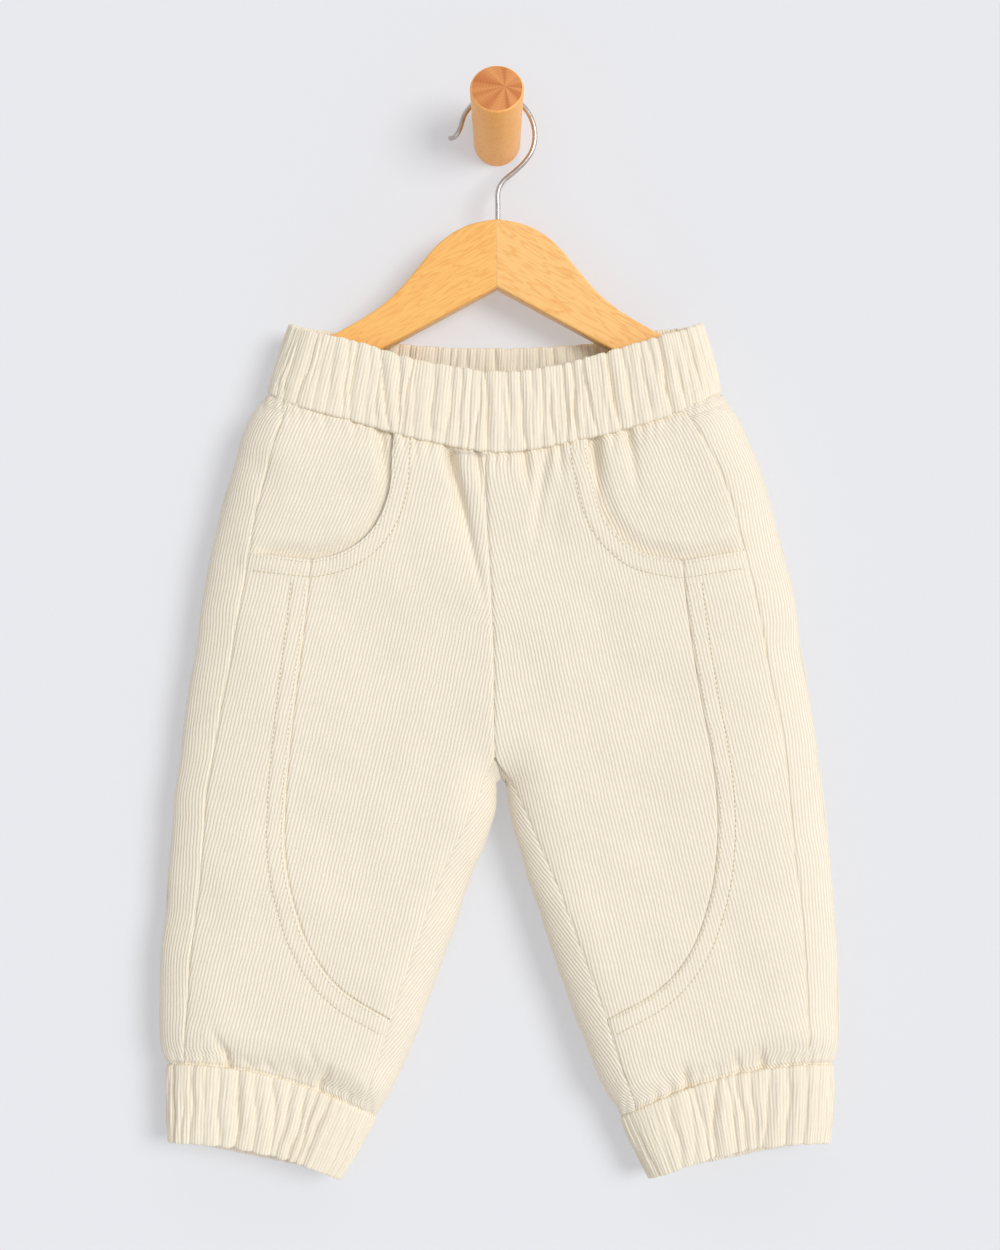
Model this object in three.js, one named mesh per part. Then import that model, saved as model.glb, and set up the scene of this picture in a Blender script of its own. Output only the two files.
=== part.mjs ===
// Toddler's corduroy trousers, hung by the waistband on a small wooden hanger over a wall peg.
// Millimetres. +X is to the viewer's right, +Z is up, and the wall is the plane y = 0.
// The origin is the centre of the peg's flat back face.
// Each cloth piece is laid out on a flat front view (x, z), rounded at the garment's folds into
// its hanging form, and thickened inwards into a closed wall that is open where the garment is.
import * as THREE from 'three';
import { mergeVertices } from 'three/addons/utils/BufferGeometryUtils.js';

// Cloth thicknesses and gaps
const MID_PLANE_Y = -18; // the plane between the garment's front and back layers
const CLOTH_WALL = 1.6; // one layer of corduroy with its pile
const BAND_WALL = 2.6; // two layers over elastic
const CUFF_WALL = 2.4;
const SEAM_GAP = 0.3; // clear distance between two sewn pieces
const RING_GAP = 0.5; // the same, where a gathered ring is sewn on
const WAIST_SEAM_DEPTH = 15.5; // half the garment's depth where the band is sewn on
const CUFF_SEAM_DEPTH = 10.8;
const WAIST_PUFF = 16; // how far below the waist seam the body reaches its full depth
const CUFF_PUFF = 20; // the same, above the cuff seam

// The notch between the legs
const NOTCH = { x: 2.3, z: -331, radius: 2 };

// Gathers
const WAIST_GATHERS = 76; // all the way round
const CUFF_GATHERS = 24; // round each cuff
const COLUMNS_PER_GATHER = 3;
const BAND_GATHER_HEIGHT = 1.2;
const CUFF_GATHER_HEIGHT = 1.3;

// Wood and wire
const HANGER_PLANE_Y = -17;
const HANGER_THICKNESS = 11;
const HANGER_EDGE_ROUND = 1.5;
const HANGER_NECK_TOP_Z = -43.8;
const HANGER_FORK_Z = -78.8; // underside at the centre joint
const WIRE_RADIUS = 1.3;
const HOOK_LOOP = { z: -0.7, halfWidth: 19.3, rise: 20.9, drop: 19.4 };
const HOOK_LOOP_DEGREES = { start: -45, stop: 170, step: 21.5 };
const HOOK_STEPS = 44; // along the wire
const WIRE_CURVE_SEGMENTS = 4;
const PEG = { backRadius: 12, frontRadius: 13.4, length: 50, tiltDegrees: 17.5, edgeRound: 1.2 };
const PEG_FOOT_SHARE = 0.2; // share of the peg's length over which it bends up from the wall
const PEG_SEGMENTS = 28;

// Small steps used to find slopes and shared points
const PLACE_STEP = 0.05; // millimetres on the front view
const LINE_STEP = 0.02; // rows along a seam line
const RING_STEP = 1e-3; // shares of the way round a ring
const WELD_DISTANCE = 1e-3;

const columns = (names, rows) =>
  rows.map((row) => Object.fromEntries(names.map((name, index) => [name, row[index]])));

// The garment's outer silhouette
const OUTER_FOLD = columns(['z', 'left', 'right'], [
  [-132, -116.2, 113.7],
  [-143.2, -124.4, 122.3],
  [-155.4, -129, 127.9],
  [-181, -137.6, 137.1],
  [-221.7, -146.8, 147.8],
  [-262.4, -153.4, 155],
  [-303.2, -159.5, 161.1],
  [-344, -164.1, 166.7],
  [-385, -167.7, 170.8],
  [-425.6, -170.8, 173.3],
  [-456, -171.4, 173.8],
  [-467.3, -170.2, 172.8],
  [-473.3, -167.2, 170.8],
]);

// The inner silhouette of each leg, below the notch
const INNER_FOLD = columns(['z', 'left', 'right'], [
  [-331, 0.3, 4.3],
  [-344, -1, 6.6],
  [-354.2, -4.1, 8.7],
  [-364.4, -7.1, 11.7],
  [-374.6, -11.2, 14.3],
  [-395, -18.9, 21.4],
  [-435.7, -33.1, 35.2],
  [-476.5, -48.4, 50.5],
  [-499.6, -61.8, 63.4],
]);

// Half the garment's depth, and how far in from each fold the cloth keeps rounding
const FORM = columns(['z', 'depth', 'outerReach', 'innerReach'], [
  [-132, 16, 24, 28],
  [-165, 17.5, 28, 28],
  [-220, 16.5, 40, 28],
  [-300, 14.5, 45, 28],
  [-380, 14, 45, 28],
  [-440, 15.5, 40, 28],
  [-475, 16, 28, 26],
  [-500, 15.5, 26, 24],
]);

// Edges of the waistband. The waist seam dips at the centre front.
const BAND_TOP_FRONT = columns(['x', 'z'], [
  [-104.5, -97],
  [-98, -100.6],
  [-65.4, -108.5],
  [-49.8, -113.8],
  [-30.7, -118.1],
  [1, -122.2],
  [28.7, -119.3],
  [60.9, -110.7],
  [97, -99.8],
  [104, -96.6],
]);
const BAND_TOP_BACK = columns(['x', 'z'], [
  [-104.5, -97],
  [-80, -99.5],
  [-51, -105],
  [0, -107.4],
  [45.9, -104.9],
  [80, -98.5],
  [104, -96.6],
]);
const WAIST_SEAM_FRONT = columns(['x', 'z'], [
  [-116.2, -132],
  [-103.8, -138.8],
  [-77.1, -146.4],
  [-42.3, -156],
  [0, -163.3],
  [44.9, -156.5],
  [76.6, -148.2],
  [97, -140.8],
  [113.7, -132],
]);
const WAIST_SEAM_BACK = columns(['x', 'z'], [
  [-116.2, -132],
  [-100, -138],
  [-50, -146],
  [0, -150],
  [50, -146],
  [98, -138],
  [113.7, -132],
]);
const BAND_TOP = { left: -104.5, right: 104, depth: 13, reach: 22 };
const BAND_BOTTOM = { left: -116.2, right: 113.7, depth: WAIST_SEAM_DEPTH, reach: 24 };

// Corners of each cuff on the front view, and how far its edges bow up between them
const CUFFS = {
  left: {
    topOuter: [-167.2, -473.3],
    topInner: [-61.8, -499.6],
    bottomOuter: [-166.5, -513],
    bottomInner: [-79.6, -531.3],
  },
  right: {
    topOuter: [170.8, -473.3],
    topInner: [63.4, -499.6],
    bottomOuter: [168, -513.2],
    bottomInner: [78.6, -531],
  },
};
const CUFF_BOW = { topFront: 10, topBack: 3, bottomFront: 7, bottomBack: 0 };
const CUFF_BOW_POWER = 0.65;
const CUFF_TOP_REACH = { outer: 28, inner: 24 };
const CUFF_BOTTOM = { reach: 20, depth: 10 };

// Rows of seam points from the waist (row 0) to the cuff (row 18). The rise and inseam are one
// line with its corner at the crotch row. The curve is the pocket mouth down to the mouth row,
// and from there the seam that sweeps round the knee to meet the inseam at the meeting row.
const CROTCH_ROW = 9;
const MOUTH_ROW = 6;
const MEETING_ROW = 15;
const LAST_ROW = 18;
const ROW_NAMES = ['inseamX', 'inseamZ', 'curveX', 'curveZ', 'sideX', 'sideZ'];
const SEAM_ROWS = {
  left: columns(ROW_NAMES, [
    [-6, -163.2, -51.8, -153.4, -104.6, -138.4],
    [-6, -169.6, -52.3, -162.6, -109, -150.3],
    [-5.5, -184.2, -53.4, -180.7, -114, -166.5],
    [-5, -199.3, -58.9, -196.3, -117.5, -179.6],
    [-4, -214.4, -67.4, -206.9, -121.1, -192.7],
    [-3, -232.1, -79.5, -214, -123.1, -204.3],
    [-2, -252.2, -93.1, -217, -124.5, -213.4],
    [-1.5, -273.4, -96.1, -247.2, -129.6, -242.1],
    [-1.5, -295.1, -100.2, -279.9, -135.2, -273.4],
    [-1, -316.2, -104.2, -315, -141.8, -307],
    [-10.6, -338.9, -106.2, -343, -146.3, -338],
    [-22.7, -364.6, -106.2, -365.5, -148.8, -365.7],
    [-33.8, -390.8, -102.2, -388.2, -151.3, -391],
    [-42.8, -417, -93.6, -412.3, -153.9, -413.7],
    [-48.9, -433.7, -78.5, -432, -155.4, -432.8],
    [-53.4, -447.8, -55, -446.8, -156.4, -448],
    [-59.7, -468.9, -59.7, -468.9, -157.4, -459.1],
    [-65.2, -485.1, -65.2, -485.1, -157.9, -467.2],
    [-68, -494.2, -68, -494.2, -158.2, -471.2],
  ]),
  right: columns(ROW_NAMES, [
    [-6, -163.2, 45.8, -156.3, 93.9, -142],
    [-6, -169.6, 46.3, -165.6, 100.4, -152],
    [-5.5, -184.2, 48.9, -179.2, 109, -167],
    [-5, -199.3, 53.4, -194.3, 114.5, -180.1],
    [-4, -214.4, 60.9, -204.9, 119.1, -192.7],
    [-3, -232.1, 72.5, -213.4, 122.1, -204.3],
    [-2, -252.2, 92.7, -217.5, 124.2, -212.4],
    [-1.5, -273.4, 96.2, -247.2, 131.2, -242.1],
    [-1.5, -295.1, 101.2, -279.9, 137.2, -273.4],
    [-1, -316.2, 107.8, -315, 143.8, -307],
    [12.1, -338.9, 110.8, -343, 147.8, -338],
    [23.2, -364.6, 110.3, -365.5, 149.9, -365.7],
    [34.2, -390.8, 106.8, -387.2, 152.9, -391],
    [43.6, -416, 97.2, -413.3, 154.9, -413.7],
    [49.9, -433.7, 81.1, -432.5, 155.9, -432.8],
    [55, -447.8, 56.6, -446.8, 156.4, -448],
    [61.5, -468.9, 61.5, -468.9, 156.9, -459.1],
    [67.6, -485.1, 67.6, -485.1, 156.9, -467.2],
    [70.1, -494.2, 70.1, -494.2, 156.9, -471.2],
  ]),
};

// Where each row crosses the outer fold, and the centre back or the inner fold
const BACK_ROWS = columns(['foldZ', 'innerZ'], [
  [-132, -150],
  [-147, -160],
  [-164, -176],
  [-178, -192],
  [-192, -207],
  [-204, -224],
  [-214, -243],
  [-242, -265],
  [-274, -297],
  [-308, -329],
  [-338, -343],
  [-366, -368],
  [-391, -395],
  [-414, -421],
  [-433, -438],
  [-448, -453],
  [-459, -474],
  [-467, -491],
  [-473.3, -499.6],
]);

// The largest folds that hang from the waist or stand above a cuff: from, to, half width, depth
const FOLDS = columns(['x0', 'z0', 'x1', 'z1', 'width', 'depth'], [
  [-23.6, -161, -18, -193, 5, 2.6],
  [-19, -188, -7.5, -242, 6, 1.8],
  [14.6, -163, 17, -182, 5, 1.2],
  [29.2, -186, 23.2, -222, 7, 1.2],
  [-58.4, -154, -53.3, -180, 5, 1.6],
  [47.3, -158, 53.4, -190, 5, 1.5],
  [65, -152, 77, -200, 7, 1.4],
  [-118, -172, -109, -206, 7, 0.9],
  [-86, -495, -80, -455, 6, 1.2],
  [-138, -478, -134, -448, 7, 1.2],
  [99, -494, 94, -456, 6, 1.2],
  [132, -478, 127, -446, 7, 1.2],
]);

// How each piece is divided
const BODY_STEPS = { front: 11, side: 8, facing: 6, wrap: 3, back: 11, inner: 3 };
const POCKET_UNDERLAP = 9; // facing cloth that runs on behind the pocket mouth
const FACING_DROP = CLOTH_WALL + SEAM_GAP; // how far the facing lies behind the mouth
const FACING_RISE = { start: 2, width: 16 }; // from the mouth until it is level with the front
const FACING_EASE_ROWS = 2; // rows over which its hidden edge turns to follow the mouth
const FACING_SINK = { row: 3.5, rows: 1.5 }; // where it sinks behind the mouth over its width
const FACING_TAIL = { row: 4, rows: 2 }; // where it runs on below the mouth at the side seam
const BACK_CORNER_SHARE = 0.16; // from the front's crotch point towards the notch
const TWO_FOLDS = { rowsAbove: 2, rows: 3 }; // above the crotch, where the back starts to round twice

const clamp01 = (value) => Math.min(1, Math.max(0, value));
const mix = (a, b, t) => a + (b - a) * t;
const smooth = (value) => clamp01(value) ** 2 * (3 - 2 * clamp01(value));

// The slope of a table's column at one row, from its neighbours
function slopeAt(table, key, column, index) {
  const before = table[Math.max(index - 1, 0)];
  const after = table[Math.min(index + 1, table.length - 1)];
  return (after[column] - before[column]) / (after[key] - before[key]);
}

// A smooth curve through a table's rows, held level past both ends
function lookUp(table, key, column, value) {
  const falling = table[0][key] > table[1][key];
  const passed = table.filter((row) => (falling ? row[key] >= value : row[key] <= value)).length;
  if (passed === 0) {
    return table[0][column];
  }
  if (passed === table.length) {
    return table[passed - 1][column];
  }
  const [low, high] = [table[passed - 1], table[passed]];
  const span = high[key] - low[key];
  const t = (value - low[key]) / span;
  const lowSlope = slopeAt(table, key, column, passed - 1) * span;
  const highSlope = slopeAt(table, key, column, passed) * span;
  const rise = high[column] - low[column];
  const bend = lowSlope * (1 - t) ** 2 * t - highSlope * t ** 2 * (1 - t);
  return low[column] + rise * t ** 2 * (3 - 2 * t) + bend;
}

// A seam table's column at a row number that may lie between two rows, with a corner at one row
function seamAt(rows, column, row, corner) {
  const numbered = rows.map((entry, index) => ({ row: index, value: entry[column] }));
  const part = row <= corner ? numbered.slice(0, corner + 1) : numbered.slice(corner);
  return lookUp(part, 'row', 'value', row);
}

// The z of a cuff's edge at x, between its outer and inner corners
function cuffEdgeZ(outer, inner, bow, x) {
  const t = clamp01((x - outer[0]) / (inner[0] - outer[0]));
  return mix(outer[1], inner[1], t) + bow * Math.sin(Math.PI * t) ** CUFF_BOW_POWER;
}

function waistSeamZ(x, isFront) {
  return lookUp(isFront ? WAIST_SEAM_FRONT : WAIST_SEAM_BACK, 'x', 'z', x);
}

function cuffSeamZ(side, x, isFront) {
  const { topOuter, topInner } = CUFFS[side];
  return cuffEdgeZ(topOuter, topInner, isFront ? CUFF_BOW.topFront : CUFF_BOW.topBack, x);
}

// How much of the full depth is left at a distance in from a fold, squared
function roundingSquared(distance, reach) {
  return distance >= reach ? 1 : 1 - (1 - distance / reach) ** 2;
}

// The square of the distance from the mid plane to the cloth at a point of the front view
function depthSquared(side, x, z, isFront) {
  const outerX = lookUp(OUTER_FOLD, 'z', side, z);
  const fromOuter = side === 'left' ? x - outerX : outerX - x;
  const innerX = lookUp(INNER_FOLD, 'z', side, z);
  const fromEdge = side === 'left' ? innerX - x : x - innerX;
  const fromNotch = Math.hypot(x - NOTCH.x, z - NOTCH.z) - NOTCH.radius;
  const fromInner = z > NOTCH.z ? fromNotch : fromEdge;
  const full = lookUp(FORM, 'z', 'depth', z);
  const belowWaist = smooth((waistSeamZ(x, isFront) - z) / WAIST_PUFF);
  const aboveCuff = smooth((z - cuffSeamZ(side, x, isFront)) / CUFF_PUFF);
  const depth = mix(CUFF_SEAM_DEPTH, mix(WAIST_SEAM_DEPTH, full, belowWaist), aboveCuff);
  const outer = roundingSquared(fromOuter, lookUp(FORM, 'z', 'outerReach', z));
  const inner = roundingSquared(fromInner, lookUp(FORM, 'z', 'innerReach', z));
  return depth ** 2 * outer * inner;
}

// How far the hanging folds push the front cloth in at a point of the front view
function foldDepth(x, z) {
  return FOLDS.reduce((total, fold) => {
    const along = new THREE.Vector2(fold.x1 - fold.x0, fold.z1 - fold.z0);
    const from = new THREE.Vector2(x - fold.x0, z - fold.z0);
    const t = clamp01(from.dot(along) / along.lengthSq());
    const away = from.sub(along.multiplyScalar(t)).length() / fold.width;
    return total + fold.depth * (1 - smooth(t)) * Math.exp(-(away ** 2));
  }, 0);
}

// A point of the front view on the hanging cloth, with the way out of the garment there
function place(side, x, z, isFront, drop = 0) {
  const squared = (stepX, stepZ) => depthSquared(side, x + stepX, z + stepZ, isFront);
  const depth = Math.sqrt(Math.max(0, squared(0, 0)));
  const slopeX = (squared(PLACE_STEP, 0) - squared(-PLACE_STEP, 0)) / (2 * PLACE_STEP);
  const slopeZ = (squared(0, PLACE_STEP) - squared(0, -PLACE_STEP)) / (2 * PLACE_STEP);
  const facing = isFront ? -1 : 1;
  const normal = new THREE.Vector3(-slopeX, 2 * depth * facing, -slopeZ).normalize();
  const inwards = drop + (isFront ? foldDepth(x, z) : 0);
  const point = new THREE.Vector3(x, MID_PLANE_Y + facing * depth, z);
  return { point: point.addScaledVector(normal, -inwards), normal };
}

// A sheet of cloth that grows by grids of placed points, then becomes a closed wall
class Sheet {
  constructor(wall, isMirrored) {
    this.wall = wall;
    this.isMirrored = isMirrored;
    this.points = [];
    this.triangles = [];
  }

  add(placed) {
    this.points.push(placed);
    return this.points.length - 1;
  }

  // Joins rows of point numbers, given from the top down and from left to right as seen outside
  weave(rows) {
    for (let row = 0; row + 1 < rows.length; row += 1) {
      for (let column = 0; column + 1 < rows[row].length; column += 1) {
        const [a, b] = [rows[row][column], rows[row][column + 1]];
        const [c, d] = [rows[row + 1][column], rows[row + 1][column + 1]];
        this.face(a, c, d);
        this.face(a, d, b);
      }
    }
  }

  face(a, b, c) {
    this.triangles.push(this.isMirrored ? [a, c, b] : [a, b, c]);
  }

  geometry() {
    const count = this.points.length;
    const inner = ({ point, normal, inside }) =>
      (inside ?? point).clone().addScaledVector(normal, -this.wall);
    const all = [...this.points.map(({ point }) => point), ...this.points.map(inner)];
    const faces = this.triangles.flatMap(([a, b, c]) => [
      [a, b, c],
      [a + count, c + count, b + count],
    ]);
    const edges = new Map();
    this.triangles.forEach(([a, b, c]) => {
      [[a, b], [b, c], [c, a]].forEach(([from, to]) => edges.set(`${from},${to}`, [from, to]));
    });
    edges.forEach(([from, to]) => {
      if (!edges.has(`${to},${from}`)) {
        faces.push([to, from, from + count], [to, from + count, to + count]);
      }
    });
    const geometry = new THREE.BufferGeometry();
    const positions = all.flatMap((point) => point.toArray());
    geometry.setAttribute('position', new THREE.Float32BufferAttribute(positions, 3));
    geometry.setIndex(faces.flat());
    return geometry;
  }
}

// The row numbers that a piece is divided at: whole rows, and halves where a seam bends
function rowsBetween(first, last) {
  const rows = [];
  for (let row = first; row <= last; row += 1) {
    rows.push(row);
    if (row >= MOUTH_ROW && row < MEETING_ROW && row < last) {
      rows.push(row + 0.5);
    }
  }
  return rows;
}

// The seam lines on the front view, each a function of the row number
const riseAndInseam = (side) => (row) => [
  seamAt(SEAM_ROWS[side], 'inseamX', row, CROTCH_ROW),
  seamAt(SEAM_ROWS[side], 'inseamZ', row, CROTCH_ROW),
];
const mouthAndCurve = (side) => (row) => [
  seamAt(SEAM_ROWS[side], 'curveX', row, MOUTH_ROW),
  seamAt(SEAM_ROWS[side], 'curveZ', row, MOUTH_ROW),
];
const sideSeam = (side) => (row) => [
  seamAt(SEAM_ROWS[side], 'sideX', row, LAST_ROW),
  seamAt(SEAM_ROWS[side], 'sideZ', row, LAST_ROW),
];

// A line moved sideways on the front view, to the right of its own way down if distance is positive
function beside(line, distance, first, last) {
  return (row) => {
    const [x, z] = line(row);
    const [x0, z0] = line(Math.max(first, row - LINE_STEP));
    const [x1, z1] = line(Math.min(last, row + LINE_STEP));
    const length = Math.hypot(x1 - x0, z1 - z0);
    return [x - (distance * (z1 - z0)) / length, z + (distance * (x1 - x0)) / length];
  };
}

// The front view's point between two lines at a row, bent so that the piece's ends meet its seams
function across(lines, row, share, ends) {
  const span = (row - ends.first) / (ends.last - ends.first);
  const between = (at, column) => mix(lines.from(at)[column], lines.to(at)[column], share);
  const [x, z] = [between(row, 0), between(row, 1)];
  const topBend = ends.top ? ends.top(between(ends.first, 0)) - between(ends.first, 1) : 0;
  const bottomBend = ends.bottom ? ends.bottom(between(ends.last, 0)) - between(ends.last, 1) : 0;
  return [x, z + (1 - span) ** 2 * topBend + span ** 2 * bottomBend];
}

// A front panel between two lines, from the centre outwards
function frontSheet(side, lines, ends, steps, dropAt = () => 0) {
  const sheet = new Sheet(CLOTH_WALL, side === 'left');
  const rows = rowsBetween(ends.first, ends.last).map((row) =>
    Array.from({ length: steps + 1 }, (_, column) => {
      const [x, z] = across(lines, row, column / steps, ends);
      return sheet.add(place(side, x, z, true, dropAt(row, column / steps)));
    }),
  );
  sheet.weave(rows);
  return sheet.geometry();
}

const inset = (side) => (side === 'left' ? -SEAM_GAP / 2 : SEAM_GAP / 2);

function frontCentre(side) {
  const last = MEETING_ROW;
  const lines = {
    from: beside(riseAndInseam(side), inset(side), 0, last),
    to: beside(mouthAndCurve(side), -inset(side), 0, last),
  };
  const top = (x) => waistSeamZ(x, true) - RING_GAP / 2;
  return frontSheet(side, lines, { first: 0, last, top }, BODY_STEPS.front);
}

function frontSide(side) {
  const first = MOUTH_ROW;
  const last = LAST_ROW;
  const lines = {
    from: beside(mouthAndCurve(side), inset(side), first, last),
    to: beside(sideSeam(side), -inset(side), first, last),
  };
  const bottom = (x) => cuffSeamZ(side, x, true) + RING_GAP / 2;
  return frontSheet(side, lines, { first, last, bottom }, BODY_STEPS.side);
}

// The facing lies behind the mouth, and comes level with the front at the waist and side seams
function pocketFacing(side) {
  const last = MOUTH_ROW;
  const mouth = mouthAndCurve(side);
  const underlap = side === 'left' ? POCKET_UNDERLAP : -POCKET_UNDERLAP;
  const hidden = beside(mouth, underlap, 0, last);
  const seam = beside(sideSeam(side), -inset(side), 0, last);
  const towardsCentre = Math.sign(underlap) * POCKET_UNDERLAP;
  const lines = {
    from: (row) => {
      const [x, z] = hidden(row);
      return [mix(mouth(row)[0] + towardsCentre, x, smooth(row / FACING_EASE_ROWS)), z];
    },
    to: (row) => {
      const [x, z] = seam(row);
      return [x, z - smooth((row - FACING_TAIL.row) / FACING_TAIL.rows) * POCKET_UNDERLAP];
    },
  };
  const dropAt = (row, share) => {
    const width = Math.abs(lines.to(row)[0] - lines.from(row)[0]);
    const pastMouth = share * width - POCKET_UNDERLAP - FACING_RISE.start;
    const level = 1 - smooth((row - FACING_SINK.row) / FACING_SINK.rows);
    return FACING_DROP * (1 - smooth(pastMouth / FACING_RISE.width) * level);
  };
  const top = (x) => waistSeamZ(x, true) - RING_GAP / 2;
  return frontSheet(side, lines, { first: 0, last, top }, BODY_STEPS.facing, dropAt);
}

// The centre back seam down to the notch, then the inner fold of the leg
function innerLineOfBack(side) {
  return (row) => {
    const z = seamAt(BACK_ROWS, 'innerZ', row, CROTCH_ROW);
    if (row <= CROTCH_ROW) {
      const x = mix(0, NOTCH.x, smooth(row / CROTCH_ROW)) + inset(side);
      return [x, z];
    }
    return [lookUp(INNER_FOLD, 'z', side, z), z];
  };
}

// The back panel's corner, just below the point where the front panels meet its centre seam
function backCrotch(side) {
  const [x, z] = riseAndInseam(side)(CROTCH_ROW);
  const [notchX, notchZ] = innerLineOfBack(side)(CROTCH_ROW);
  return [mix(x + inset(side), notchX, BACK_CORNER_SHARE), mix(z, notchZ, BACK_CORNER_SHARE)];
}

// Back panel: side seam, round the outer fold, across the back, round the inner fold, inseam
function backPanel(side) {
  const sheet = new Sheet(CLOTH_WALL, side === 'left');
  const seam = beside(sideSeam(side), inset(side), 0, LAST_ROW);
  const innerLine = innerLineOfBack(side);
  const sewnInseam = beside(riseAndInseam(side), -2 * inset(side), CROTCH_ROW, LAST_ROW);
  const inseam = (row) => (row === CROTCH_ROW ? backCrotch(side) : sewnInseam(row));
  const outerFold = (row) => {
    const z = seamAt(BACK_ROWS, 'foldZ', row, LAST_ROW);
    return [lookUp(OUTER_FOLD, 'z', side, z), z];
  };
  const halfGap = RING_GAP / 2;
  const frontEnds = {
    first: 0,
    last: LAST_ROW,
    top: (x) => waistSeamZ(x, true) - halfGap,
    bottom: (x) => cuffSeamZ(side, x, true) + halfGap,
  };
  const backEnds = {
    first: 0,
    last: LAST_ROW,
    top: (x) => waistSeamZ(x, false) - halfGap,
    bottom: (x) => cuffSeamZ(side, x, false) + halfGap,
  };
  const innerEnds = { first: CROTCH_ROW, last: LAST_ROW, bottom: frontEnds.bottom };
  const wrapped = { from: outerFold, to: seam };
  const spread = { from: outerFold, to: innerLine };
  const turned = { from: innerLine, to: inseam };
  const innerFold = new Map();
  const rows = rowsBetween(0, LAST_ROW).map((row) => {
    const legShare = smooth((row - CROTCH_ROW + TWO_FOLDS.rowsAbove) / TWO_FOLDS.rows);
    const numbers = [];
    for (let column = 0; column < BODY_STEPS.wrap; column += 1) {
      const share = (1 - column / BODY_STEPS.wrap) ** 2;
      const [x, z] = across(wrapped, row, share, frontEnds);
      numbers.push(sheet.add(place(side, x, z, true)));
    }
    for (let column = 0; column <= BODY_STEPS.back; column += 1) {
      const t = column / BODY_STEPS.back;
      const oneFold = 1 - Math.cos((Math.PI / 2) * t);
      const twoFolds = (1 - Math.cos(Math.PI * t)) / 2;
      const [x, z] = across(spread, row, mix(oneFold, twoFolds, legShare), backEnds);
      numbers.push(sheet.add(place(side, x, z, false)));
    }
    innerFold.set(row, numbers.at(-1));
    return numbers;
  });
  sheet.weave(rows);
  const turn = rowsBetween(CROTCH_ROW, LAST_ROW).map((row) => {
    const numbers = [innerFold.get(row)];
    for (let column = 1; column <= BODY_STEPS.inner; column += 1) {
      const share = (column / BODY_STEPS.inner) ** 2;
      const [x, z] = across(turned, row, share, innerEnds);
      numbers.push(sheet.add(place(side, x, z, true)));
    }
    return numbers;
  });
  sheet.weave(turn);
  return sheet.geometry();
}

// A flattened ring's point at a share of the way round, from its left fold over the front
function ringSection(section, share) {
  const quarter = (reach) => (Math.PI / 2) * reach;
  const leftReach = section.leftReach ?? section.reach;
  const rightReach = section.rightReach ?? section.reach;
  const flat = section.right - section.left - leftReach - rightReach;
  const length = quarter(leftReach) + flat + quarter(rightReach);
  const isFront = share < 0.5;
  const along = (isFront ? share : 1 - share) * 2 * length;
  const fromRight = length - along;
  const facing = isFront ? -1 : 1;
  if (along < quarter(leftReach)) {
    const angle = along / leftReach;
    const x = section.left + leftReach * (1 - Math.cos(angle));
    return { x, y: MID_PLANE_Y + facing * section.depth * Math.sin(angle), isFront };
  }
  if (fromRight < quarter(rightReach)) {
    const angle = fromRight / rightReach;
    const x = section.right - rightReach * (1 - Math.cos(angle));
    return { x, y: MID_PLANE_Y + facing * section.depth * Math.sin(angle), isFront };
  }
  const x = section.left + leftReach + along - quarter(leftReach);
  return { x, y: MID_PLANE_Y + facing * section.depth, isFront };
}

// Waves that move the gathers from even spacing: waves round the ring, reach in gathers, start
const GATHER_DRIFTS = columns(['waves', 'reach', 'start'], [
  [7, 0.28, 1],
  [17, 0.2, 0],
]);
const DRIFT_PASSES = 8;
const RIDGE_START = 1 / 6; // share of a gather, so that its columns fall unevenly about the ridge
const RIDGE_VARIATION = { share: 0.25, perGather: 2.3, perLevel: 2 };

// Uneven gathers: the share of the way round at which a gather number falls
function gatherShare(number, count) {
  const driftAt = (share) =>
    GATHER_DRIFTS.reduce(
      (total, { waves, reach, start }) => total + reach * Math.sin(2 * Math.PI * waves * share + start),
      0,
    );
  let share = number / count;
  for (let pass = 0; pass < DRIFT_PASSES; pass += 1) {
    share = (number - driftAt(share)) / count;
  }
  return share - Math.floor(share);
}

// How high a gather stands at a phase of its wave, with ridges of uneven height
function gatherHeight(number, level) {
  const ridge = 0.5 + 0.5 * Math.cos(2 * Math.PI * (number + RIDGE_START));
  const { share, perGather, perLevel } = RIDGE_VARIATION;
  return ridge * (1 - share + share * Math.sin(number * perGather + level * perLevel));
}

// A gathered ring between two edges, each a function of the share of the way round
function gatheredRing({ edges, gathers, height, wall, levels }) {
  const sheet = new Sheet(wall, false);
  const total = gathers * COLUMNS_PER_GATHER;
  const basePoint = (share, level) => {
    const [top, bottom] = [edges.top(share), edges.bottom(share)];
    return top.lerp(bottom, level);
  };
  const rows = levels.map(({ level, ridge }) =>
    Array.from({ length: total }, (_, column) => {
      const number = column / COLUMNS_PER_GATHER;
      const share = gatherShare(number, gathers);
      const inside = basePoint(share, level);
      const ahead = basePoint((share + RING_STEP) % 1, level);
      const round = ahead.sub(basePoint((share + 1 - RING_STEP) % 1, level));
      const down = basePoint(share, 1).sub(basePoint(share, 0));
      const normal = down.cross(round).normalize();
      const stand = height * ridge * gatherHeight(number, level);
      return sheet.add({ inside, point: inside.clone().addScaledVector(normal, stand), normal });
    }),
  );
  sheet.weave(rows.map((row) => [...row, row[0]]));
  return sheet.geometry();
}

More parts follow.
